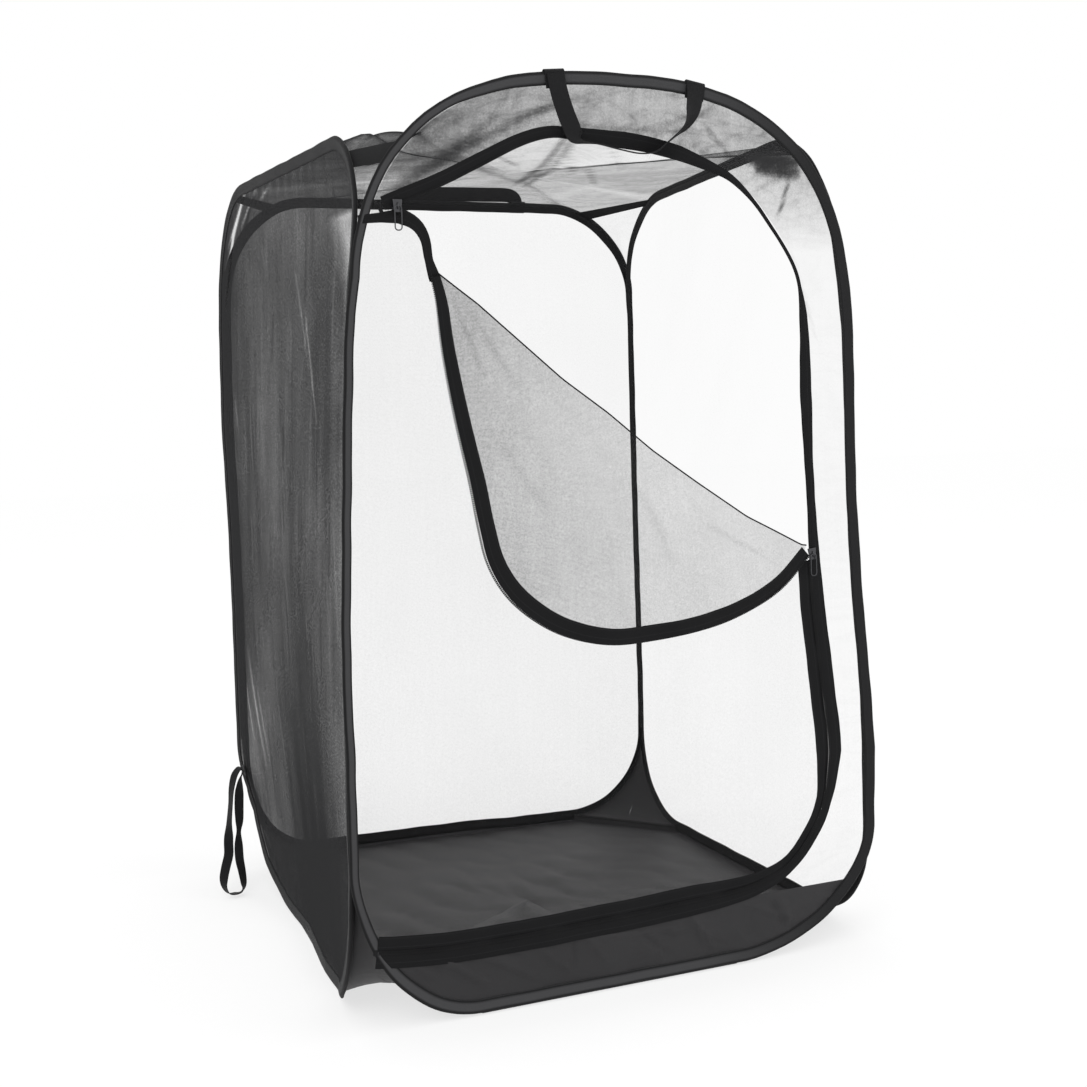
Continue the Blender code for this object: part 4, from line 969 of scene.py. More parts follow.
LEFT_CREASES = (
    ((-0.125, 0.900), (-0.244, 0.828), 0.0042, -0.97), ((-0.152, 0.886), (-0.257, 0.800), 0.0045, -0.97),
    ((-0.085, 0.892), (-0.170, 0.848), 0.0028, -0.8), ((-0.205, 0.850), (-0.262, 0.745), 0.0060, -0.97),
    ((-0.030, 0.885), (-0.095, 0.866), 0.0025, -0.7), ((-0.10, 0.885), (-0.21, 0.80), 0.003, 0.8),
    ((0.10, 0.74), (0.17, 0.60), 0.003, -0.55), ((0.06, 0.78), (0.13, 0.66), 0.003, -0.35),
    ((-0.21, 0.32), (-0.15, 0.17), 0.006, -0.5), ((-0.24, 0.30), (-0.20, 0.19), 0.004, -0.45),
    ((-0.17, 0.28), (-0.13, 0.18), 0.004, -0.3),
)
SURROUND_CREASES = (
    ((-0.2493, 0.8298), (-0.1400, 0.9000), 0.0060, 3.6), ((-0.2020, 0.8615), (-0.0597, 0.9325), 0.0035, 2.2),
    ((-0.2250, 0.8700), (-0.1400, 0.9300), 0.0050, 1.0), ((-0.1300, 0.9050), (-0.0143, 0.9450), 0.0030, 1.2),
    ((0.1028, 0.9197), (0.1506, 0.8683), 0.0025, 1.2), ((0.0310, 0.9060), (0.1274, 0.9314), 0.0030, 1.0),
    ((0.2150, 0.8650), (0.1960, 0.8150), 0.0018, 2.6), ((0.1560, 0.8810), (0.2280, 0.8790), 0.0062, 9.0),
    ((0.1680, 0.8710), (0.2280, 0.8670), 0.0060, 7.0),
    ((0.2100, 0.7900), (0.2500, 0.6800), 0.0025, 0.3), ((-0.0900, 0.9080), (0.0900, 0.9050), 0.0030, 0.9),
)


def random_creases(seed, count, low, high, length, angle, spread, width, height):
    """Small folds scattered over an area, most of them near one direction."""
    rng = np.random.default_rng(seed)
    made = []
    for _ in range(count):
        place = rng.uniform(low, high)
        turn = angle + rng.normal() * spread
        reach = np.array([math.cos(turn), math.sin(turn)]) * rng.uniform(*length) / 2
        made.append((place - reach, place + reach, rng.uniform(*width), rng.uniform(*height)))
    return made


def crease_load(points, creases, base=1.0):
    total = np.full(len(points), float(base))
    for start, end, width, height in creases:
        total += crease(points, start, end, width, height)
    return np.maximum(total, 0.04)


def left_load(points):
    """The left net: thin in slits and in a pane beside the front post, denser higher up."""
    pane = np.clip((points[:, 0] - 0.170 - (0.825 - points[:, 1]) * 0.9) / 0.06, 0, 1)
    pane *= np.clip((0.822 - points[:, 1]) / 0.006, 0, 1)
    small = random_creases(4, 110, (-0.26, 0.12), (0.27, 0.86), (0.03, 0.13), 1.62, 0.14,
                           (0.0022, 0.0045), (-0.25, 0.25))
    fuller = np.interp(points[:, 1], (0.10, 0.35, 0.50, 0.75), (1.1, 1.22, 1.28, 1.65))
    return crease_load(points, [*LEFT_CREASES, *small]) * (1 - 0.70 * pane) * fuller


def wall_wrinkles(hoop, points, distance):
    """How far a wall's net bulges out of its plane."""
    strength = cloth().wrinkle
    fade = np.clip(distance / 0.05, 0, 1) ** 1.5
    waves = {
        "left": ((0.16, 0.0004, 0.1, 0.25), (0.05, 0.00015, 0.0, 0.3)),
        "right": ((0.24, 0.0020, 0.3, 0.6), (0.09, 0.0004, 0.2, 0.6)),
        "back": ((0.26, 0.0022, 0.2, 0.6), (0.10, 0.0004, 0.4, 0.6)),
    }[hoop.name]
    return strength * fade * ripples(points, len(hoop.name), waves)


def tautness(hoop, points):
    """How far the net, held only at its edge, stands from the sprung shape between the posts."""
    edge = hoop.line(10, 0.03)
    held = hoop.warp(edge[:, 0], edge[:, 1])[1]
    held = np.broadcast_to(held, (len(edge),))
    apart = np.linalg.norm(points[:, None] - edge[None], axis=2)
    weights = 1 / (apart**2 + 1e-5) ** 1.5
    near = np.clip(apart.min(axis=1) / 0.03, 0, 1)
    return (weights @ held / weights.sum(axis=1) - hoop.warp(points[:, 0], points[:, 1])[1]) * near


def build_wall_nets(hoops):
    for hoop in hoops:
        if hoop.name == "front":
            continue
        outline = wall_outline(hoop)

        def surface(flat, distance, hoop=hoop):
            out = wall_wrinkles(hoop, flat, distance) + tautness(hoop, flat)
            return hoop.world(np.column_stack([flat, out]))

        spacing, load = cloth().net_spacing, None
        if hoop.name == "left":
            spacing, load = spacing / 2, left_load
        mesh = patch_mesh(f"Net {hoop.name}", outline, spacing, surface, load)
        item = new_object(f"Net {hoop.name}", mesh, hoop.body)
        dress(item, net_look(hoop.name))
        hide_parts(f"net_{hoop.name}")


SILL_CREASES = (
    ((-0.22, 0.070), (-0.16, 0.028), 0.004, 0.0035), ((-0.19, 0.072), (-0.10, 0.022), 0.003, 0.0025),
    ((0.00, 0.062), (0.05, 0.020), 0.003, -0.002), ((0.07, 0.066), (0.10, 0.022), 0.004, 0.003),
    ((0.13, 0.068), (0.20, 0.040), 0.003, 0.0025), ((-0.05, 0.060), (0.08, 0.048), 0.003, 0.002),
    ((0.17, 0.070), (0.19, 0.030), 0.004, -0.003), ((-0.25, 0.070), (-0.22, 0.045), 0.003, 0.0025),
)


def build_front_nets(front):
    outer = wall_outline(front)
    low = SILL_HEIGHT + SEAM_GAP
    seam = SEAM_HEIGHT + SEAM_GAP
    above = cut_outline(outer, low, False)
    right_run = [p for p in above if p[0] >= 0]
    left_top = [p for p in cut_outline(np.array(above), seam, False) if p[0] < 0]
    whole = np.vstack([zip_closed(), zip_open()[1:]])
    edge = [tuple(p) for p in beside(resample(whole, 0.006), -NET_INSET) if p[1] > low + 0.004]
    surround = right_run + left_top + [(-0.244, seam)] + edge[::-1] + [(edge[0][0], low)]
    door_low = ZIP_BOTTOM + NET_INSET
    left_side = [p for p in cut_outline(np.array(above), SEAM_HEIGHT, True) if p[0] < 0]
    zip_side = [tuple(p) for p in beside(resample(zip_closed(), 0.006), NET_INSET) if p[0] > -0.255]
    door = left_side + [(-0.264, low), (-0.264, door_low)] + zip_side
    door += [FOLD_END, FOLD_START] + list(DROOP[:0:-1])

    def surround_surface(flat, distance):
        fade = np.clip(distance / 0.03, 0, 1)
        out = ripples(flat, 3, ((0.05, 0.0018, 0.9, 0.7), (0.13, 0.0022, 0.3, 0.8)))
        return front.world(np.column_stack([flat, out * fade]))

    def door_surface(flat, distance):
        fade = np.clip(distance / 0.04, 0, 1)
        out = ripples(flat, 8, ((0.20, 0.0022, 0.6, 0.6), (0.08, 0.0006, 0.2, 0.8)))
        return front.world(np.column_stack([fold_shift(flat), (out - 0.0015) * fade]))

    def surround_load(flat):
        upper = np.clip((flat[:, 1] - 0.78) / 0.10, 0, 1)
        left = np.clip((0.05 - flat[:, 0]) / 0.25, 0, 1)
        small = random_creases(6, 110, (-0.26, 0.82), (0.20, 0.95), (0.015, 0.08), 0.6, 0.5,
                               (0.0018, 0.0035), (-0.5, 1.1))
        return crease_load(flat, [*SURROUND_CREASES, *small], 0.0) + 0.07 + (1.15 + 0.25 * left) * upper

    for label, outline, surface, size, spacing, load in (
        ("surround", surround, surround_surface, (0.115, 1.50), 0.004, surround_load),
        ("door", door, door_surface, (0.55, 0.73), cloth().net_spacing, None),
    ):
        mesh = patch_mesh(f"Net {label}", np.array(outline), spacing, surface, load)
        item = new_object(f"Net {label}", mesh, "front_wall")
        dress(item, net_look(label))
        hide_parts(f"net_{label}")

    sill = cut_outline(outer, SILL_HEIGHT, True)

    def sill_surface(flat, distance):
        fade = np.clip(distance / 0.02, 0, 1)
        out = ripples(flat, 12, ((0.09, 0.0022, 0.2, 0.5), (0.03, 0.0007, 0.4, 0.9)))
        small = random_creases(9, 45, (-0.26, 0.012), (0.26, 0.075), (0.015, 0.06), -0.7, 0.5,
                               (0.0015, 0.0035), (-0.0018, 0.0022))
        for a, b, width, height in [*SILL_CREASES, *small]:
            out += crease(flat, a, b, width, height)
        return front.world(np.column_stack([flat, out * fade]))

    mesh = patch_mesh("Sill strip", np.array(sill), 0.0035, sill_surface)
    item = new_object("Sill strip", mesh, "front_wall")
    dress(item, floor_material())
    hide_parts("sill_strip")


def flat_band(name, hoop, line, width, thickness, out, body, wobble=0.0, spacing=0.005, columns=4,
              widths=None, offset=0.0):
    """A strip of tape along a flat line on a wall, beside it by an offset to its right."""
    line = resample(line, spacing)
    scale = np.ones(len(line)) if widths is None else widths_along(line, widths)
    line = beside(line, -offset * scale)
    along = tangents(line)
    side = np.stack([along[:, 1], -along[:, 0]], 1)
    run = np.arange(len(line)) * spacing
    level = out + wobble * (np.sin(run * 70 + 1) + 0.6 * np.sin(run * 163 + 2))
    path = hoop.world(np.column_stack([line, level]))
    tilt = wobble * 60 * np.sin(run * 95 + 3)
    wides = hoop.turn(np.column_stack([side, tilt]))
    thicks = unit(np.cross(wides, tangents(path)))
    section = band_section(width, thickness, columns)
    mesh = sweep(name, path, wides, thicks, section, False, 50, scale)
    return new_object(name, mesh, body)


def zip_tape_material():
    return woven_material("Zip tape", (0.0055, 0.0055, 0.006), 0.0007, 0.0005, slant=0.4,
                          stitches=((0.0020, 0.003), (0.0108, 0.003)), sheen=0.15, patch=0.3)


def teeth_group():
    """Geometry nodes: a tooth at every pitch along a line, turned to follow it."""
    found = bpy.data.node_groups.get("Teeth along a line")
    if found:
        return found
    group = bpy.data.node_groups.new("Teeth along a line", "GeometryNodeTree")
    for label, kind, value in (("Line", "NodeSocketGeometry", None), ("Pitch", "NodeSocketFloat", 0.0021),
                               ("Tooth size", "NodeSocketVector", (0.0046, 0.0012, 0.0016)),
                               ("Material", "NodeSocketMaterial", None)):
        socket = group.interface.new_socket(label, in_out="INPUT", socket_type=kind)
        if value is not None:
            socket.default_value = value
    group.interface.new_socket("Teeth", in_out="OUTPUT", socket_type="NodeSocketGeometry")
    start = group.nodes.new("NodeGroupInput")
    end = group.nodes.new("NodeGroupOutput")
    curve = add(group, "GeometryNodeMeshToCurve", {0: start.outputs["Line"]})
    points = add(group, "GeometryNodeCurveToPoints", {
        "Curve": curve.outputs[0], "Length": start.outputs["Pitch"]}, mode="LENGTH")
    tooth = add(group, "GeometryNodeMeshCube", {"Size": start.outputs["Tooth size"]})
    turned = add(group, "FunctionNodeAlignRotationToVector", {
        "Vector": points.outputs["Tangent"]}, axis="Y")
    turned = add(group, "FunctionNodeAlignRotationToVector", {
        "Rotation": turned.outputs[0], "Vector": (0.0, -1.0, 0.0)}, axis="Z", pivot_axis="Y")
    placed = add(group, "GeometryNodeInstanceOnPoints", {
        "Points": points.outputs["Points"], "Instance": tooth.outputs[0], "Rotation": turned.outputs[0]})
    real = add(group, "GeometryNodeRealizeInstances", {0: placed.outputs[0]})
    colored = add(group, "GeometryNodeSetMaterial", {
        "Geometry": real.outputs[0], "Material": start.outputs["Material"]})
    group.links.new(colored.outputs[0], end.inputs[0])
    return group


def build_teeth(name, front, line, out, width, body, node):
    """A row of zip teeth, made by the geometry nodes and kept as one mesh."""
    line = resample(line, 0.004)
    points = front.world(np.column_stack([line, np.full(len(line), out)]))
    mesh = bpy.data.meshes.new(f"{name} line")
    mesh.from_pydata([tuple(p) for p in points], [(i, i + 1) for i in range(len(points) - 1)], [])
    helper = bpy.data.objects.new(f"{name} line", mesh)
    bpy.context.scene.collection.objects.link(helper)
    modifier = helper.modifiers.new("Teeth", "NODES")
    modifier.node_group = teeth_group()
    sockets = modifier.node_group.interface.items_tree
    keys = {socket.name: socket.identifier for socket in sockets if socket.in_out == "INPUT"}
    modifier[keys["Pitch"]] = cloth().tooth_pitch
    modifier[keys["Tooth size"]] = (width, cloth().tooth_pitch * 0.62, 0.0015)
    material = zip_coil_material()
    modifier[keys["Material"]] = material
    graph = bpy.context.evaluated_depsgraph_get()
    teeth = bpy.data.meshes.new_from_object(helper.evaluated_get(graph))
    bpy.data.objects.remove(helper, do_unlink=True)
    item = new_object(name, teeth, body)
    dress(item, material)
    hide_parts(node)


def build_zip(front):
    closed, opened = zip_closed(), zip_open()
    whole = np.vstack([closed, opened[1:]])
    tape = zip_tape_material()
    for name, line, node, offset, widths in (
        ("Zip tape frame", whole, "zip_tape_frame", TAPE_OFFSET, BAND_WIDTHS),
        ("Zip tape door", closed, "zip_tape_door", -TAPE_OFFSET, CLOSED_WIDTHS),
        ("Zip tape door top", smooth_line(DROOP, 5), "zip_tape_door_top", 0.0, DROOP_WIDTHS),
    ):
        item = flat_band(name, front, line, TAPE_WIDTH, TAPE_THICKNESS, TAPE_LEVEL, "front_wall",
                         0.0003, widths=widths, offset=offset)
        dress(item, tape)
        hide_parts(node)
    build_teeth("Zip teeth closed", front, closed, CHAIN_LEVEL, CHAIN_WIDTH, "front_wall",
                "zip_chain_closed")
    start = opened[0] + unit(opened[1] - opened[0]) * 0.001
    open_line = beside(resample(np.vstack([[start], opened[1:]]), 0.005), -CHAIN_WIDTH / 4)
    build_teeth("Zip teeth frame", front, open_line, CHAIN_LEVEL, OPEN_TEETH_WIDTH, "front_wall",
                "zip_chain_frame")
    build_stop("Zip stop low", front, closed[0], closed[1], "zip_stop_low")
    build_stop("Zip stop top", front, opened[-1], opened[-2], "zip_stop_top")


def box_piece(name, matrix, size, bevel, body, segments=2, taper=1.0):
    """A block with rounded edges, tapered towards its lower end and placed by a matrix."""
    bm = bmesh.new()
    bmesh.ops.create_cube(bm, size=1, matrix=Matrix.Diagonal((*size, 1)))
    for vert in bm.verts:
        if vert.co.y < 0:
            vert.co.x *= taper
    bmesh.ops.bevel(bm, geom=bm.edges[:], offset=bevel, segments=segments, profile=0.6, affect="EDGES")
    bmesh.ops.transform(bm, matrix=matrix, verts=bm.verts)
    mesh = bpy.data.meshes.new(name)
    bm.to_mesh(mesh)
    bm.free()
    mesh.shade_smooth()
    mesh.set_sharp_from_angle(angle=math.radians(40))
    return new_object(name, mesh, body)


def build_stop(name, front, end, inner, node):
    away = unit(np.asarray(end) - np.asarray(inner))
    place = np.asarray(end) + away * 0.0023
    turn = math.atan2(away[1], away[0])
    matrix = front.matrix @ Matrix.Translation((*place, CHAIN_LEVEL)) @ Matrix.Rotation(turn, 4, "Z")
    item = box_piece(name, matrix, (0.004, 0.006, 0.0016), 0.0005, "front_wall")
    dress(item, zip_coil_material())
    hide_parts(node)


FLAP_CREASES = (
    ((-0.185, 0.735), (-0.150, 0.650), 0.003, 1.2), ((-0.170, 0.725), (-0.110, 0.640), 0.0035, 0.9),
    ((-0.150, 0.600), (-0.080, 0.500), 0.004, 0.5), ((0.020, 0.540), (0.060, 0.440), 0.005, 0.3),
    ((0.100, 0.500), (0.180, 0.450), 0.003, 0.6),
)


def build_flap(front):
    edge = flap_edge()
    fold = resample(np.array([FOLD_END, FOLD_START]), 0.006)
    outline = np.vstack([fold, edge[1:]])

    def surface(flat, distance):
        return front.world(np.column_stack([fold_shift(flat), flap_out(flat) - 0.001]))

    def load(flat):
        share = (flat[:, 0] - FOLD_START[0]) / (FOLD_END[0] - FOLD_START[0])
        return crease_load(flat, FLAP_CREASES) + 2.6 * np.exp(-np.clip(share, 0, 1) / 0.26)

    mesh = patch_mesh("Flap net", outline, 0.005, surface, load)
    net = new_object("Flap net", mesh, "door_corner")
    dress(net, net_look("flap"))
    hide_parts("flap_net")
    line = resample(edge, 0.004)
    share = np.linspace(0, 1, len(line))
    scale = np.interp(share, (0, 0.05, 0.2, 0.5, 0.8, 1), (0.6, 0.75, 0.9, 1.1, 1.0, 0.85))
    along = tangents(line)
    side = np.stack([along[:, 1], -along[:, 0]], 1)
    path = front.world(np.column_stack([line, flap_out(line) + 0.0006]))
    out_left = flap_out(line - side * 0.006)
    out_right = flap_out(line + side * 0.006)
    wides = front.turn(np.column_stack([side, (out_right - out_left) / 0.012]))
    thicks = unit(np.cross(wides, tangents(path)))
    section = band_section(FLAP_TAPE_WIDTH, TAPE_THICKNESS, 4)
    mesh = sweep("Flap tape", path, wides, thicks, section, False, 50, scale)
    tape = new_object("Flap tape", mesh, "door_corner")
    dress(tape, zip_tape_material())
    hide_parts("flap_tape")
    teeth_line = beside(line, -(FLAP_TAPE_WIDTH / 2 * scale))
    build_teeth("Flap teeth", front, teeth_line, FLAP_TEETH_LEVEL, OPEN_TEETH_WIDTH, "door_corner",
                "flap_chain")
    hem = resample(fold_shift(resample(np.array([FOLD_START, FOLD_END]), 0.006)), 0.006)
    hem = flat_band("Fold hem", front, hem, 0.0016, 0.0008, 0.0030, "door_corner", 0.0, 0.006, 3)
    dress(hem, zip_tape_material())


def round_section(radius, sides=10):
    turns = [2 * math.pi * i / sides for i in range(sides)]
    return [(radius * math.cos(turn), radius * math.sin(turn)) for turn in turns]


def tube(name, path, radius, body, closed=False, sides=10):
    """A round wire along a path, with a frame carried along it."""
    path = np.asarray(path, float)
    along = tangents(path, closed)
    side = np.cross(along[0], (0.0, 1.0, 0.13))
    wides = []
    for direction in along:
        side = side - direction * (side @ direction)
        side = side / np.linalg.norm(side)
        wides.append(side)
    wides = np.array(wides)
    thicks = np.cross(wides, along)
    mesh = sweep(name, path, wides, thicks, round_section(radius, sides), closed, 0)
    return new_object(name, mesh, body)


SLIDER_SIZE = (0.0100, 0.0130, 0.0028)
PULL_LEVEL = 0.0029
PULL_WIDTH = 0.0070
PULL_LENGTH = 0.0240
PULL_CORNER = 0.0030


def build_slider(front, name, place, along, body, pull_body, node):
    """A zip slider: a wedge-shaped shell with a lug, and the wire pull that hangs in it."""
    angle = math.atan2(along[1], along[0]) - RIGHT_ANGLE
    matrix = front.matrix @ Matrix.Translation((*place, SLIDER_LEVEL)) @ Matrix.Rotation(angle, 4, "Z")
    slider = box_piece(name, matrix, SLIDER_SIZE, 0.0009, body, 3, 0.7)
    metal = metal_material("Zip metal", (0.09, 0.09, 0.095), 0.3)
    dress(slider, metal)
    arch = [matrix @ Vector((0, 0.0032 * math.cos(t), 0.0003 + 0.0030 * math.sin(t)))
            for t in np.linspace(0, math.pi, 13)]
    lug = tube(f"{name} lug", arch, 0.0007, body, sides=8)
    dress(lug, metal)
    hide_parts(node)
    hang = matrix @ Matrix.Translation((0, 0, PULL_LEVEL)) @ Matrix.Rotation(-angle, 4, "Z")
    loop = []
    for quarter, (side, low) in enumerate(((1, False), (-1, False), (-1, True), (1, True))):
        x = side * (PULL_WIDTH / 2 - PULL_CORNER)
        y = PULL_CORNER - PULL_LENGTH if low else -PULL_CORNER
        for i in range(7):
            turn = RIGHT_ANGLE * (quarter + i / 6)
            corner = (x + PULL_CORNER * math.cos(turn), y + PULL_CORNER * math.sin(turn), 0)
            loop.append(hang @ Vector(corner))
    loop = resample(np.array([tuple(p) for p in loop]), 0.0012, True)
    pull = tube(f"{name} pull", loop, 0.00065, pull_body, True)
    dress(pull, metal)
    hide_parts(f"{node}_pull")


def webbing_material():
    return woven_material("Webbing", (0.006, 0.006, 0.0065), 0.0014, 0.0011, slant=0.9, depth=0.0003,
                          rough=0.6, sheen=0.3, patch=0.3, light=1.9)


def strap_mesh(name, matrix, places, wides, width, thickness, closed=False, steps=8):
    """A webbing strap through points, its width turned as given at each of them."""
    places = smooth_line(places, steps, closed)
    wides = unit(smooth_line(wides, steps, closed))
    along = tangents(places, closed)
    wides = unit(wides - along * np.sum(wides * along, axis=1, keepdims=True))
    m = np.array(matrix)
    path = places @ m[:3, :3].T + m[:3, 3]
    wides = wides @ m[:3, :3].T
    thicks = unit(np.cross(wides, tangents(path, closed)))
    return sweep(name, path, wides, thicks, band_section(width, thickness, 5), closed, 50)


WEBBING_THICKNESS = 0.0012
HANDLE_FACING = (0.42, 0.14, -0.90)
# Points along each handle: across, up, out, and how far its width is turned to the facing above
HANDLE_LINES = {
    "front": (
        (-0.0660, 0.9590, 0.0047, 0.00), (-0.0645, 0.9480, 0.0050, 0.00), (-0.0610, 0.9326, 0.0060, 0.00),
        (-0.0565, 0.9180, 0.0070, 0.00), (-0.0520, 0.9060, 0.0080, 0.00), (-0.0475, 0.8950, 0.0095, 0.15),
        (-0.0400, 0.8895, 0.0110, 0.85), (-0.0205, 0.8868, 0.0130, 1.00), (0.0015, 0.8825, 0.0130, 1.00),
        (0.0243, 0.8795, 0.0130, 1.00), (0.0425, 0.8822, 0.0130, 1.00), (0.0560, 0.8915, 0.0120, 0.97),
        (0.0740, 0.9055, 0.0100, 0.90), (0.0855, 0.9175, 0.0070, 0.60), (0.0925, 0.9320, 0.0052, 0.20),
        (0.0950, 0.9470, 0.0047, 0.05), (0.0950, 0.9560, 0.0047, 0.00),
    ),
    "rear": (
        (-0.1270, 0.9040, 0.0047, 0.00), (-0.1275, 0.9100, 0.0047, 0.00), (-0.1230, 0.9150, 0.0050, 0.00),
        (-0.1120, 0.9175, 0.0050, 0.00), (-0.0800, 0.9172, 0.0050, 0.00), (-0.0400, 0.9168, 0.0050, 0.00),
        (0.0000, 0.9158, 0.0050, 0.00), (0.0250, 0.9140, 0.0050, 0.00), (0.0400, 0.9100, 0.0047, 0.00),
        (0.0450, 0.9040, 0.0047, 0.00),
    ),
}


def build_handle(hoop, label, tabs):
    """A carry handle and the two webbing tabs that hold it on the hoop."""
    webbing = webbing_material()
    places = [np.array(row[:3]) for row in HANDLE_LINES[label]]
    wides = []
    for i, (_, _, _, turn) in enumerate(HANDLE_LINES[label]):
        step = places[min(len(places) - 1, i + 1)] - places[max(0, i - 1)]
        flat = unit(np.array([-step[1], step[0], 0]))
        flat = -flat if flat[0] < 0 and label == "front" else flat
        wides.append(flat * (1 - turn) + np.array(HANDLE_FACING) * turn)
    mesh = strap_mesh(f"Handle {label}", hoop.matrix, places, wides, shape().webbing_width,
                      WEBBING_THICKNESS)
    handle = new_object(f"Handle {label}", mesh, f"{label}_handle")
    dress(handle, webbing)
    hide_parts(f"{label}_handle")
    for side, across in zip(("left", "right"), tabs):
        build_tab(hoop, f"{label}_handle_tab_{side}", across)


def build_tab(hoop, node, across):
    """A short piece of webbing folded over the hoop, longer outside."""
    slope = (hoop.top_at(across + 0.002) - hoop.top_at(across - 0.002)) / 0.004
    place = Matrix.Translation((across, hoop.top_at(across), 0))
    matrix = hoop.matrix @ place @ Matrix.Rotation(math.atan(slope), 4, "Z")
    top, side = 0.0078, 0.0032
    bend = [(side * math.cos(t), top - 0.0022 + 0.0028 * math.sin(t))
            for t in np.linspace(math.pi, 0, 9)]
    low = -0.0112 if hoop.name == "front" else -0.0070
    profile = [(-side, 0.0035)] + bend + [(side, 0.001), (side, low * 0.58), (side, low)]
    places = [(0, up, out) for out, up in profile]
    wides = [(1, 0, 0)] * len(places)
    name = node.replace("_", " ").capitalize()
    mesh = strap_mesh(name, matrix, places, wides, 0.0225, WEBBING_THICKNESS, steps=3)
    item = new_object(name, mesh, hoop.body)
    dress(item, webbing_material())
    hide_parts(node)


STRAP_PLACE = (-0.262, 0.1425)
STRAP_SCALE = 0.15
# Points round the strap's loop: across, up and out as shares of the scale, and the turn of its width
STRAP_SHARES = (
    (0.01, 0.950, 0.0315, 0.97), (0.04, 0.90, 0.045, 0.77), (0.09, 0.84, 0.062, 0.39),
    (0.14, 0.77, 0.072, 0.00), (0.19, 0.67, 0.074, 0.00), (0.24, 0.58, 0.074, 0.22),
    (0.28, 0.49, 0.080, 0.60), (0.33, 0.38, 0.094, 0.17), (0.38, 0.28, 0.100, 0.17),
    (0.42, 0.18, 0.090, 0.33), (0.46, 0.09, 0.088, 0.50), (0.49, 0.040, 0.111, 0.80),
    (0.51, 0.032, 0.167, 0.95), (0.50, 0.040, 0.223, 0.88), (0.48, 0.09, 0.253, 0.75),
    (0.45, 0.16, 0.252, 0.44), (0.41, 0.24, 0.225, 0.33), (0.36, 0.33, 0.188, 0.17),
    (0.32, 0.43, 0.178, 0.17), (0.26, 0.56, 0.165, 0.77), (0.18, 0.71, 0.150, 0.87),
    (0.12, 0.83, 0.140, 0.80), (0.05, 0.93, 0.110, 0.75), (0.01, 0.975, 0.064, 0.90),
)


def build_strap(left):
    across, up = STRAP_PLACE
    moved = -left.warp(across, up)[1]
    places = []
    for a, b, c, _ in STRAP_SHARES:
        held = 0.25 + 0.75 * np.clip((b - 0.5) / 0.5, 0, 1)
        places.append(np.array([across + a * STRAP_SCALE, b * STRAP_SCALE, c * STRAP_SCALE - moved * held]))
    wides = []
    for i, (_, _, _, turn) in enumerate(STRAP_SHARES):
        step = places[(i + 1) % len(places)] - places[i - 1]
        flat = unit(np.array([0, step[2], -step[1]]))
        angle = RIGHT_ANGLE * turn
        wides.append(flat * math.cos(angle) + np.array([math.sin(angle), 0, 0]))
    mesh = strap_mesh("Storage strap", left.matrix, places, wides, shape().strap_width,
                      WEBBING_THICKNESS, True, 6)
    strap = new_object("Storage strap", mesh, "storage_strap")
    dress(strap, webbing_material())
    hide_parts("storage_strap")
    middle = places[0][0]
    line = np.array([(middle, 0.1365), (middle, 0.1495)])
    tab = flat_band("Strap tab", left, line, 0.016, WEBBING_THICKNESS, 0.0032, "left_wall", 0.0, 0.003)
    dress(tab, webbing_material())
    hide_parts("strap_tab")


# Floor and roof, a quarter to each wall
# How far from each post a corner's tape crosses the two hoops
REACHES = {
    ("front", "right"): (0.062, 0.058), ("right", "back"): (0.087, 0.070),
    ("back", "left"): (0.070, 0.087), ("left", "front"): (0.030, 0.060),
}
GUSSET_GAP = 0.009


def corner_pair(hoop_a, hoop_b, end, reaches, steps):
    """Facing points up or down two hoops' corners, from the post to the reaches."""
    keys = (f"{end}_right", f"{end}_left")
    hoops = (hoop_a, hoop_b)
    bases = [hoop.base(key) for hoop, key in zip(hoops, keys)]
    base = min(bases) if end == "top" else max(bases)
    goals = [hoop.reach_height(key, reach) for hoop, key, reach in zip(hoops, keys, reaches)]
    rows = []
    for i in range(steps + 1):
        share = math.sin(RIGHT_ANGLE * i / steps)
        row = []
        for hoop, key, goal in zip(hoops, keys, goals):
            across, up = hoop.at_height(key, base + (goal - base) * share)
            row.append(hoop.world([(across, up, INNER_FACE)])[0])
        rows.append(row)
    return np.array(rows)


def half_gusset(rows, first, columns=6):
    """One wall's half of a corner's cloth: from the wall's edge to the middle of the corner."""
    a, b = (rows[:, 0], rows[:, 1]) if first else (rows[:, 1], rows[:, 0])
    shares = np.linspace(0, 0.5, columns)
    return a[:, None] + (b - a)[:, None] * shares[None, :, None]


def grid_parts(name, grids):
    """Several grids of points as one mesh, with UVs from their run and spread."""
    verts, faces, corners = [], [], []
    for grid in grids:
        n, m = grid.shape[:2]
        start = len(verts)
        verts.extend(grid.reshape(-1, 3))
        run = np.zeros((n, m))
        spread = np.zeros((n, m))
        run[1:] = np.cumsum(np.linalg.norm(np.diff(grid, axis=0), axis=2), axis=0)
        spread[:, 1:] = np.cumsum(np.linalg.norm(np.diff(grid, axis=1), axis=2), axis=1)
        for i in range(n - 1):
            for j in range(m - 1):
                ring = ((i, j), (i + 1, j), (i + 1, j + 1), (i, j + 1))
                faces.append(tuple(start + a * m + b for a, b in ring))
                corners.extend((run[a, b], spread[a, b]) for a, b in ring)
    return finish_mesh(name, verts, faces, corners, sharp=0)


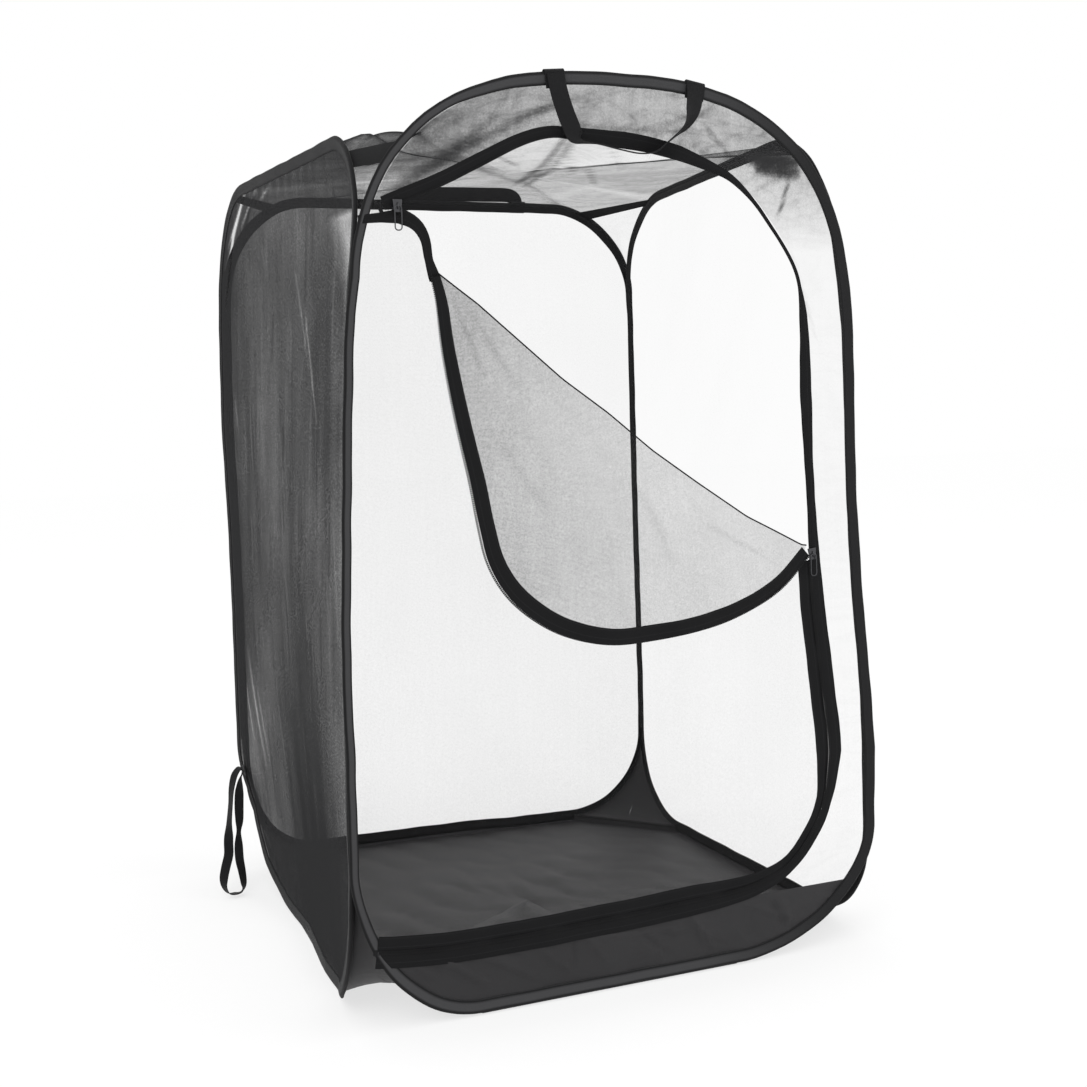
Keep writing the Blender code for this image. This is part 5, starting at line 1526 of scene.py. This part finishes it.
def roof_edge(hoops, index):
    """The roof's edge for one wall: half of a corner tape, the hoop's top, half of the next."""
    beyond = GUSSET_GAP
    hoop = hoops[index]
    before, after = hoops[index - 1], hoops[(index + 1) % 4]
    left = REACHES[(before.name, hoop.name)]
    right = REACHES[(hoop.name, after.name)]

    def point(h, across):
        return h.world([(across, h.top_at(across), INNER_FACE)])[0]

    start = point(hoop, left[1] + beyond - hoop.half)
    end = point(hoop, hoop.half - right[0] - beyond)
    other = point(before, before.half - left[0] - beyond)
    following = point(after, right[1] + beyond - after.half)
    xs = np.linspace(left[1] + beyond - hoop.half, hoop.half - right[0] - beyond, 61)
    run = [point(hoop, x) for x in xs]
    before_half = [other + (start - other) * t for t in np.linspace(0.5, 1, 7)[:-1]]
    after_half = [end + (following - end) * t for t in np.linspace(0, 0.5, 7)[1:]]
    return np.array(before_half + run + after_half)


# Places across a roof tape, from its outer to its inner edge
ROOF_TAPE = (-0.0095, -0.003, 0.003, 0.0095)
WIDE_ROOF_TAPE = (-0.0095, 0.006, 0.018, 0.030)
# Folds in the roof's net: start, end, width and how much denser the net is there
ROOF_CREASES = (
    ((0.0683, 0.1075), (0.0059, -0.2832), 0.0045, 2.4), ((0.0840, 0.1147), (0.0180, -0.2727), 0.0040, 2.0),
    ((-0.0567, -0.1167), (0.0195, -0.0340), 0.0030, 1.2), ((0.0168, -0.1721), (0.1088, 0.0107), 0.0030, 1.0),
    ((0.0918, -0.0672), (0.1738, 0.0864), 0.0030, 0.8), ((0.0465, -0.2162), (0.1489, -0.0440), 0.0030, 0.8),
    ((-0.22, -0.24), (0.10, 0.12), 0.0060, 0.8), ((-0.27, 0.05), (0.02, 0.27), 0.0050, 0.8),
)


SHARP_ROOF_FOLDS = 6


def near_corner(points):
    """How gathered the roof's net is at its front left and front right corners."""
    total = 0
    for x, y, size, share in ((-0.25, -0.24, 0.16, 2.2), (0.31, -0.28, 0.055, 14.0)):
        total = total + share * np.exp(-((points[:, 0] - x) ** 2 + (points[:, 1] - y) ** 2) / size**2)
    return total


def roof_height(points):
    """Folds in the roof's net, the same for neighbouring quarters."""
    flat = points[..., :2].reshape(-1, 2)
    waves = ripples(flat, 21, ((0.20, 0.0012, 0.7, 0.7), (0.07, 0.0004, 0.4, 0.9)))
    for start, end, width, height in ROOF_CREASES[:SHARP_ROOF_FOLDS]:
        waves += crease(flat, start, end, width * 1.5, height * 0.0006)
    apart = (flat[:, 0] + 0.215) ** 2 + (flat[:, 1] + 0.225) ** 2
    waves += 0.020 * np.exp(-apart / 0.055**2)
    return waves.reshape(points.shape[:-1])


def build_roof(hoops):
    net = net_look("roof")
    tape_look = woven_material("Seam tape", *SEAM_TAPE)
    middle = np.array([MIDDLE.x, MIDDLE.y, shape().roof_middle])
    for index, hoop in enumerate(hoops):
        edge = roof_edge(hoops, index)
        shares = np.linspace(0, 1, 31)
        rows = [np.repeat(middle[None], len(edge), 0)]
        for share in shares[1:]:
            row = middle + (edge - middle) * share
            row[:, 2] = middle[2] + (edge[:, 2] - middle[2]) * share**1.9
            rows.append(row)
        rows = np.array(rows)
        fade = np.clip((1 - shares) / 0.12, 0, 1)
        rows[..., 2] += roof_height(rows) * fade[:, None] * cloth().wrinkle
        before, after = hoops[index - 1], hoops[(index + 1) % 4]
        grids, tapes = [rows], []
        for pair, first in (((before, hoop), False), ((hoop, after), True)):
            reaches = REACHES[(pair[0].name, pair[1].name)]
            short = [reach - GUSSET_GAP for reach in reaches]
            corner = corner_pair(*pair, "top", short, 14)
            half = half_gusset(corner, first)
            n, m = half.shape[:2]
            sag = np.sin(np.linspace(0, math.pi, n))[:, None] * np.linspace(0, 1, m)[None]
            half[..., 2] += (0.008 if pair[1].name == "front" else -0.006) * sag
            grids.append(half if first else half[:, ::-1])
            ends = []
            for shift in WIDE_ROOF_TAPE if pair[0].name == "front" else ROOF_TAPE:
                a = reach_point(pair[0], "top_right", reaches[0] + shift)
                b = reach_point(pair[1], "top_left", reaches[1] + shift)
                near, far = (a, b) if first else (b, a)
                ends.append([near + (far - near) * t for t in np.linspace(0, 0.5, 7)])
            strip = np.array(ends)
            strip[..., 2] += 0.0009
            tapes.append(strip if first else strip[:, ::-1])
        mesh = grid_parts(f"Roof net {hoop.name}", grids)
        spots = np.array([tuple(v.co) for v in mesh.vertices])
        set_load(mesh, crease_load(spots[:, :2], ROOF_CREASES) + near_corner(spots))
        item = new_object(f"Roof net {hoop.name}", mesh, hoop.body)
        dress(item, net)
        nodes = ["roof_panel"] + [f"roof_gusset_{c}" for c in corner_names(hoop.name)]
        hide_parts(*nodes)
        fold_with(item)
        tape = new_object(f"Roof tape {hoop.name}", grid_parts(f"Roof tape {hoop.name}", tapes), hoop.body)
        dress(tape, tape_look)
        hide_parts(*[f"roof_tape_{c}" for c in corner_names(hoop.name)])
        fold_with(tape)


def corner_names(wall):
    return {"front": ("front_right", "front_left"), "right": ("front_right", "back_right"),
            "back": ("back_right", "back_left"), "left": ("back_left", "front_left")}[wall]


def reach_point(hoop, key, reach):
    across, up = hoop.at_height(key, hoop.reach_height(key, reach))
    return hoop.world([(across, up, INNER_FACE)])[0]


FLOOR_LEVEL = 0.0012
FRONT_LEFT_RISE = 0.024


def floor_end(hoop, key):
    """Where the floor's straight edge on a wall ends, at the foot of a corner."""
    across = hoop.half - hoop.corners[key][0]
    return hoop.world([(across if key.endswith("right") else -across, FLOOR_LEVEL, -0.0006)])[0]


def build_floor(hoops):
    material = floor_material()
    for index, hoop in enumerate(hoops):
        before, after = hoops[index - 1], hoops[(index + 1) % 4]
        left, right = floor_end(hoop, "low_left"), floor_end(hoop, "low_right")
        other, following = floor_end(before, "low_right"), floor_end(after, "low_left")
        edge = [other + (left - other) * t for t in np.linspace(0.5, 1, 9)[:-1]]
        edge += [left + (right - left) * t for t in np.linspace(0, 1, 41)]
        edge += [right + (following - right) * t for t in np.linspace(0, 0.5, 9)[1:]]
        edge = np.array(edge)
        chord = np.sin(np.linspace(0, math.pi, 17))
        if hoop.name == "left":
            edge[-9:, 2] += FRONT_LEFT_RISE * chord[:9]
        if hoop.name == "front":
            edge[:9, 2] += FRONT_LEFT_RISE * chord[8:]
        middle = np.array([MIDDLE.x, MIDDLE.y, FLOOR_LEVEL])
        shares = np.linspace(0, 1, 31)
        rows = middle + (edge - middle)[None] * shares[:, None, None]
        waves = ((0.10, 0.004, 0.8, 1.5), (0.04, 0.0015, 0.2, 1.5))
        bumps = np.abs(ripples(rows[..., :2].reshape(-1, 2), 33, waves))
        rows[..., 2] += bumps.reshape(rows.shape[:2]) * np.clip((1 - shares) / 0.1, 0, 1)[:, None]
        hem = rows[-1:] + np.array([0, 0, 0.0088])
        grids = [np.concatenate([rows, hem])]
        for pair, first in (((before, hoop), False), ((hoop, after), True)):
            low = [pair[0].corners["low_right"][0], pair[1].corners["low_left"][0]]
            corner = corner_pair(*pair, "low", low, 16)
            half = half_gusset(corner, first, 8)
            n, m = half.shape[:2]
            waves = ((0.05, 0.003, 0.8, 1.0), (0.02, 0.001, 0.3, 1.0))
            wave = ripples(half.reshape(-1, 3)[:, :2], 40 + index, waves)
            inner = np.linspace(0, 1, m)[None] * np.sin(np.linspace(0, math.pi, n))[:, None]
            half[..., 2] += wave.reshape(n, m) * inner
            if pair[1].name == "front":
                rise = FRONT_LEFT_RISE * np.linspace(0, 1, n)[:, None] ** 2
                half[..., 2] += rise * np.sin(np.linspace(0, RIGHT_ANGLE, m))[None]
            grids.append(half[:, ::-1] if first else half)
        item = new_object(f"Floor {hoop.name}", grid_parts(f"Floor {hoop.name}", grids), hoop.body)
        dress(item, material)
        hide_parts("floor_panel", *[f"floor_gusset_{c}" for c in corner_names(hoop.name)])
        fold_with(item)


# Stage
WATTS_PER_STEP = 6
CAMERA_ANGLES = (-0.39774, -0.04305, -0.02582)
CAMERA_PLACE = (-0.664369, -1.710964, 0.63487)


def build_stage():
    look = bpy.context.scene.cage_light
    scene = bpy.context.scene
    world = bpy.data.worlds.new("Plain light")
    scene.world = world
    world.use_nodes = True
    world.node_tree.nodes["Background"].inputs["Color"].default_value = (1, 1, 1, 1)
    world.node_tree.nodes["Background"].inputs["Strength"].default_value = look.world
    bm = bmesh.new()
    bmesh.ops.create_grid(bm, x_segments=1, y_segments=1, size=9)
    mesh = bpy.data.meshes.new("Stage floor")
    bm.to_mesh(mesh)
    bm.free()
    floor = new_object("Stage floor", mesh)
    floor.location.z = -0.0002
    material, tree, output = new_material("Stage floor")
    matt = add(tree, "ShaderNodeBsdfDiffuse", {"Color": (0.98, 0.98, 0.98, 1)})
    glow = add(tree, "ShaderNodeEmission", {"Color": (1, 1, 1, 1), "Strength": 1.0})
    shader = add(tree, "ShaderNodeMixShader", {0: 0.7, 1: matt.outputs[0], 2: glow.outputs[0]})
    tree.links.new(shader.outputs[0], output.inputs[0])
    mesh.materials.append(material)
    for name, place, size, power in (
        ("Key light", (-2.2, -2.4, 3.0), 2.2, look.key),
        ("Fill light", (2.6, -1.6, 2.0), 2.5, look.fill),
    ):
        light = bpy.data.lights.new(name, "AREA")
        light.energy = power * WATTS_PER_STEP
        light.size = size
        lamp = bpy.data.objects.new(name, light)
        scene.collection.objects.link(lamp)
        lamp.location = place
        aim = Vector((0, 0, 0.45)) - Vector(place)
        lamp.rotation_euler = aim.to_track_quat("-Z", "Y").to_euler()
    yaw, pitch, roll = CAMERA_ANGLES
    right = Vector((math.cos(yaw), math.sin(yaw), 0))
    ahead = Vector((-math.sin(yaw) * math.cos(pitch), math.cos(yaw) * math.cos(pitch), math.sin(pitch)))
    up = right.cross(ahead)
    side = math.cos(roll) * right + math.sin(roll) * up
    top = -math.sin(roll) * right + math.cos(roll) * up
    camera = bpy.data.cameras.new("Camera")
    camera.lens = look.lens
    camera.sensor_width = 36
    camera.shift_y = look.shift
    camera.clip_end = 50
    holder = bpy.data.objects.new("Camera", camera)
    scene.collection.objects.link(holder)
    rows = zip(side, top, -ahead, CAMERA_PLACE)
    holder.matrix_world = Matrix((*(tuple(row) for row in rows), (0, 0, 0, 1)))
    scene.camera = holder
    scene.view_settings.view_transform = "Standard"
    scene.view_settings.look = "None"


# Operators and panel
class CageOperator(bpy.types.Operator):
    bl_options = {"REGISTER", "UNDO"}

    def execute(self, context):
        self.build(build_hoops())
        return {"FINISHED"}


class CAGE_OT_sleeves(CageOperator):
    bl_idname = "cage.sleeves"
    bl_label = "Sleeves"

    def build(self, hoops):
        build_sleeves(hoops)
        build_post_seams(hoops)


class CAGE_OT_wall_nets(CageOperator):
    bl_idname = "cage.wall_nets"
    bl_label = "Wall nets"

    def build(self, hoops):
        build_wall_nets(hoops)


class CAGE_OT_front_nets(CageOperator):
    bl_idname = "cage.front_nets"
    bl_label = "Front nets and sill"

    def build(self, hoops):
        build_front_nets(hoops[0])


class CAGE_OT_zip(CageOperator):
    bl_idname = "cage.zip"
    bl_label = "Zip"

    def build(self, hoops):
        build_zip(hoops[0])


class CAGE_OT_flap(CageOperator):
    bl_idname = "cage.flap"
    bl_label = "Folded door corner"

    def build(self, hoops):
        build_flap(hoops[0])


class CAGE_OT_sliders(CageOperator):
    bl_idname = "cage.sliders"
    bl_label = "Sliders and pulls"

    def build(self, hoops):
        knee, corner = np.array(ZIP_KNEE), np.array(ZIP_LOW_CORNER)
        build_slider(hoops[0], "Lower slider", ZIP_KNEE, knee - corner, "lower_slider", "lower_pull",
                     "slider_lower")
        build_slider(hoops[0], "Upper slider", UPPER_SLIDER, (0, 1), "front_wall", "upper_pull",
                     "slider_upper")


class CAGE_OT_handles(CageOperator):
    bl_idname = "cage.handles"
    bl_label = "Carry handles"

    def build(self, hoops):
        build_handle(hoops[0], "front", (-0.066, 0.096))
        build_handle(hoops[2], "rear", (-0.129, 0.045))


class CAGE_OT_strap(CageOperator):
    bl_idname = "cage.strap"
    bl_label = "Storage strap"

    def build(self, hoops):
        build_strap(hoops[3])


class CAGE_OT_roof(CageOperator):
    bl_idname = "cage.roof"
    bl_label = "Roof"

    def build(self, hoops):
        build_roof(hoops)


class CAGE_OT_floor(CageOperator):
    bl_idname = "cage.floor"
    bl_label = "Floor"

    def build(self, hoops):
        build_floor(hoops)


class CAGE_OT_stage(CageOperator):
    bl_idname = "cage.stage"
    bl_label = "Stage, light and camera"

    def build(self, hoops):
        build_stage()


OPERATORS = (
    CAGE_OT_sleeves, CAGE_OT_wall_nets, CAGE_OT_front_nets, CAGE_OT_zip, CAGE_OT_flap, CAGE_OT_sliders,
    CAGE_OT_handles, CAGE_OT_strap, CAGE_OT_roof, CAGE_OT_floor, CAGE_OT_stage,
)


class CAGE_PT_panel(bpy.types.Panel):
    bl_label = "Insect cage"
    bl_idname = "CAGE_PT_panel"
    bl_space_type = "VIEW_3D"
    bl_region_type = "UI"
    bl_category = "Cage"

    def draw(self, context):
        for group in (context.scene.cage_shape, context.scene.cage_cloth, context.scene.cage_light):
            for key in group.__annotations__:
                self.layout.prop(group, key)
        for operator in OPERATORS:
            self.layout.operator(operator.bl_idname)


CLASSES = (CageShape, CageCloth, CageLight, *OPERATORS, CAGE_PT_panel)


def register():
    for item in CLASSES:
        bpy.utils.register_class(item)
    bpy.types.Scene.cage_shape = bpy.props.PointerProperty(type=CageShape)
    bpy.types.Scene.cage_cloth = bpy.props.PointerProperty(type=CageCloth)
    bpy.types.Scene.cage_light = bpy.props.PointerProperty(type=CageLight)


def unregister():
    del bpy.types.Scene.cage_light
    del bpy.types.Scene.cage_cloth
    del bpy.types.Scene.cage_shape
    for item in reversed(CLASSES):
        bpy.utils.unregister_class(item)


def main():
    register()
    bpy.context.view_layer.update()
    for operator in OPERATORS:
        group, name = operator.bl_idname.split(".")
        getattr(getattr(bpy.ops, group), name)()


if __name__ == "__main__":
    main()
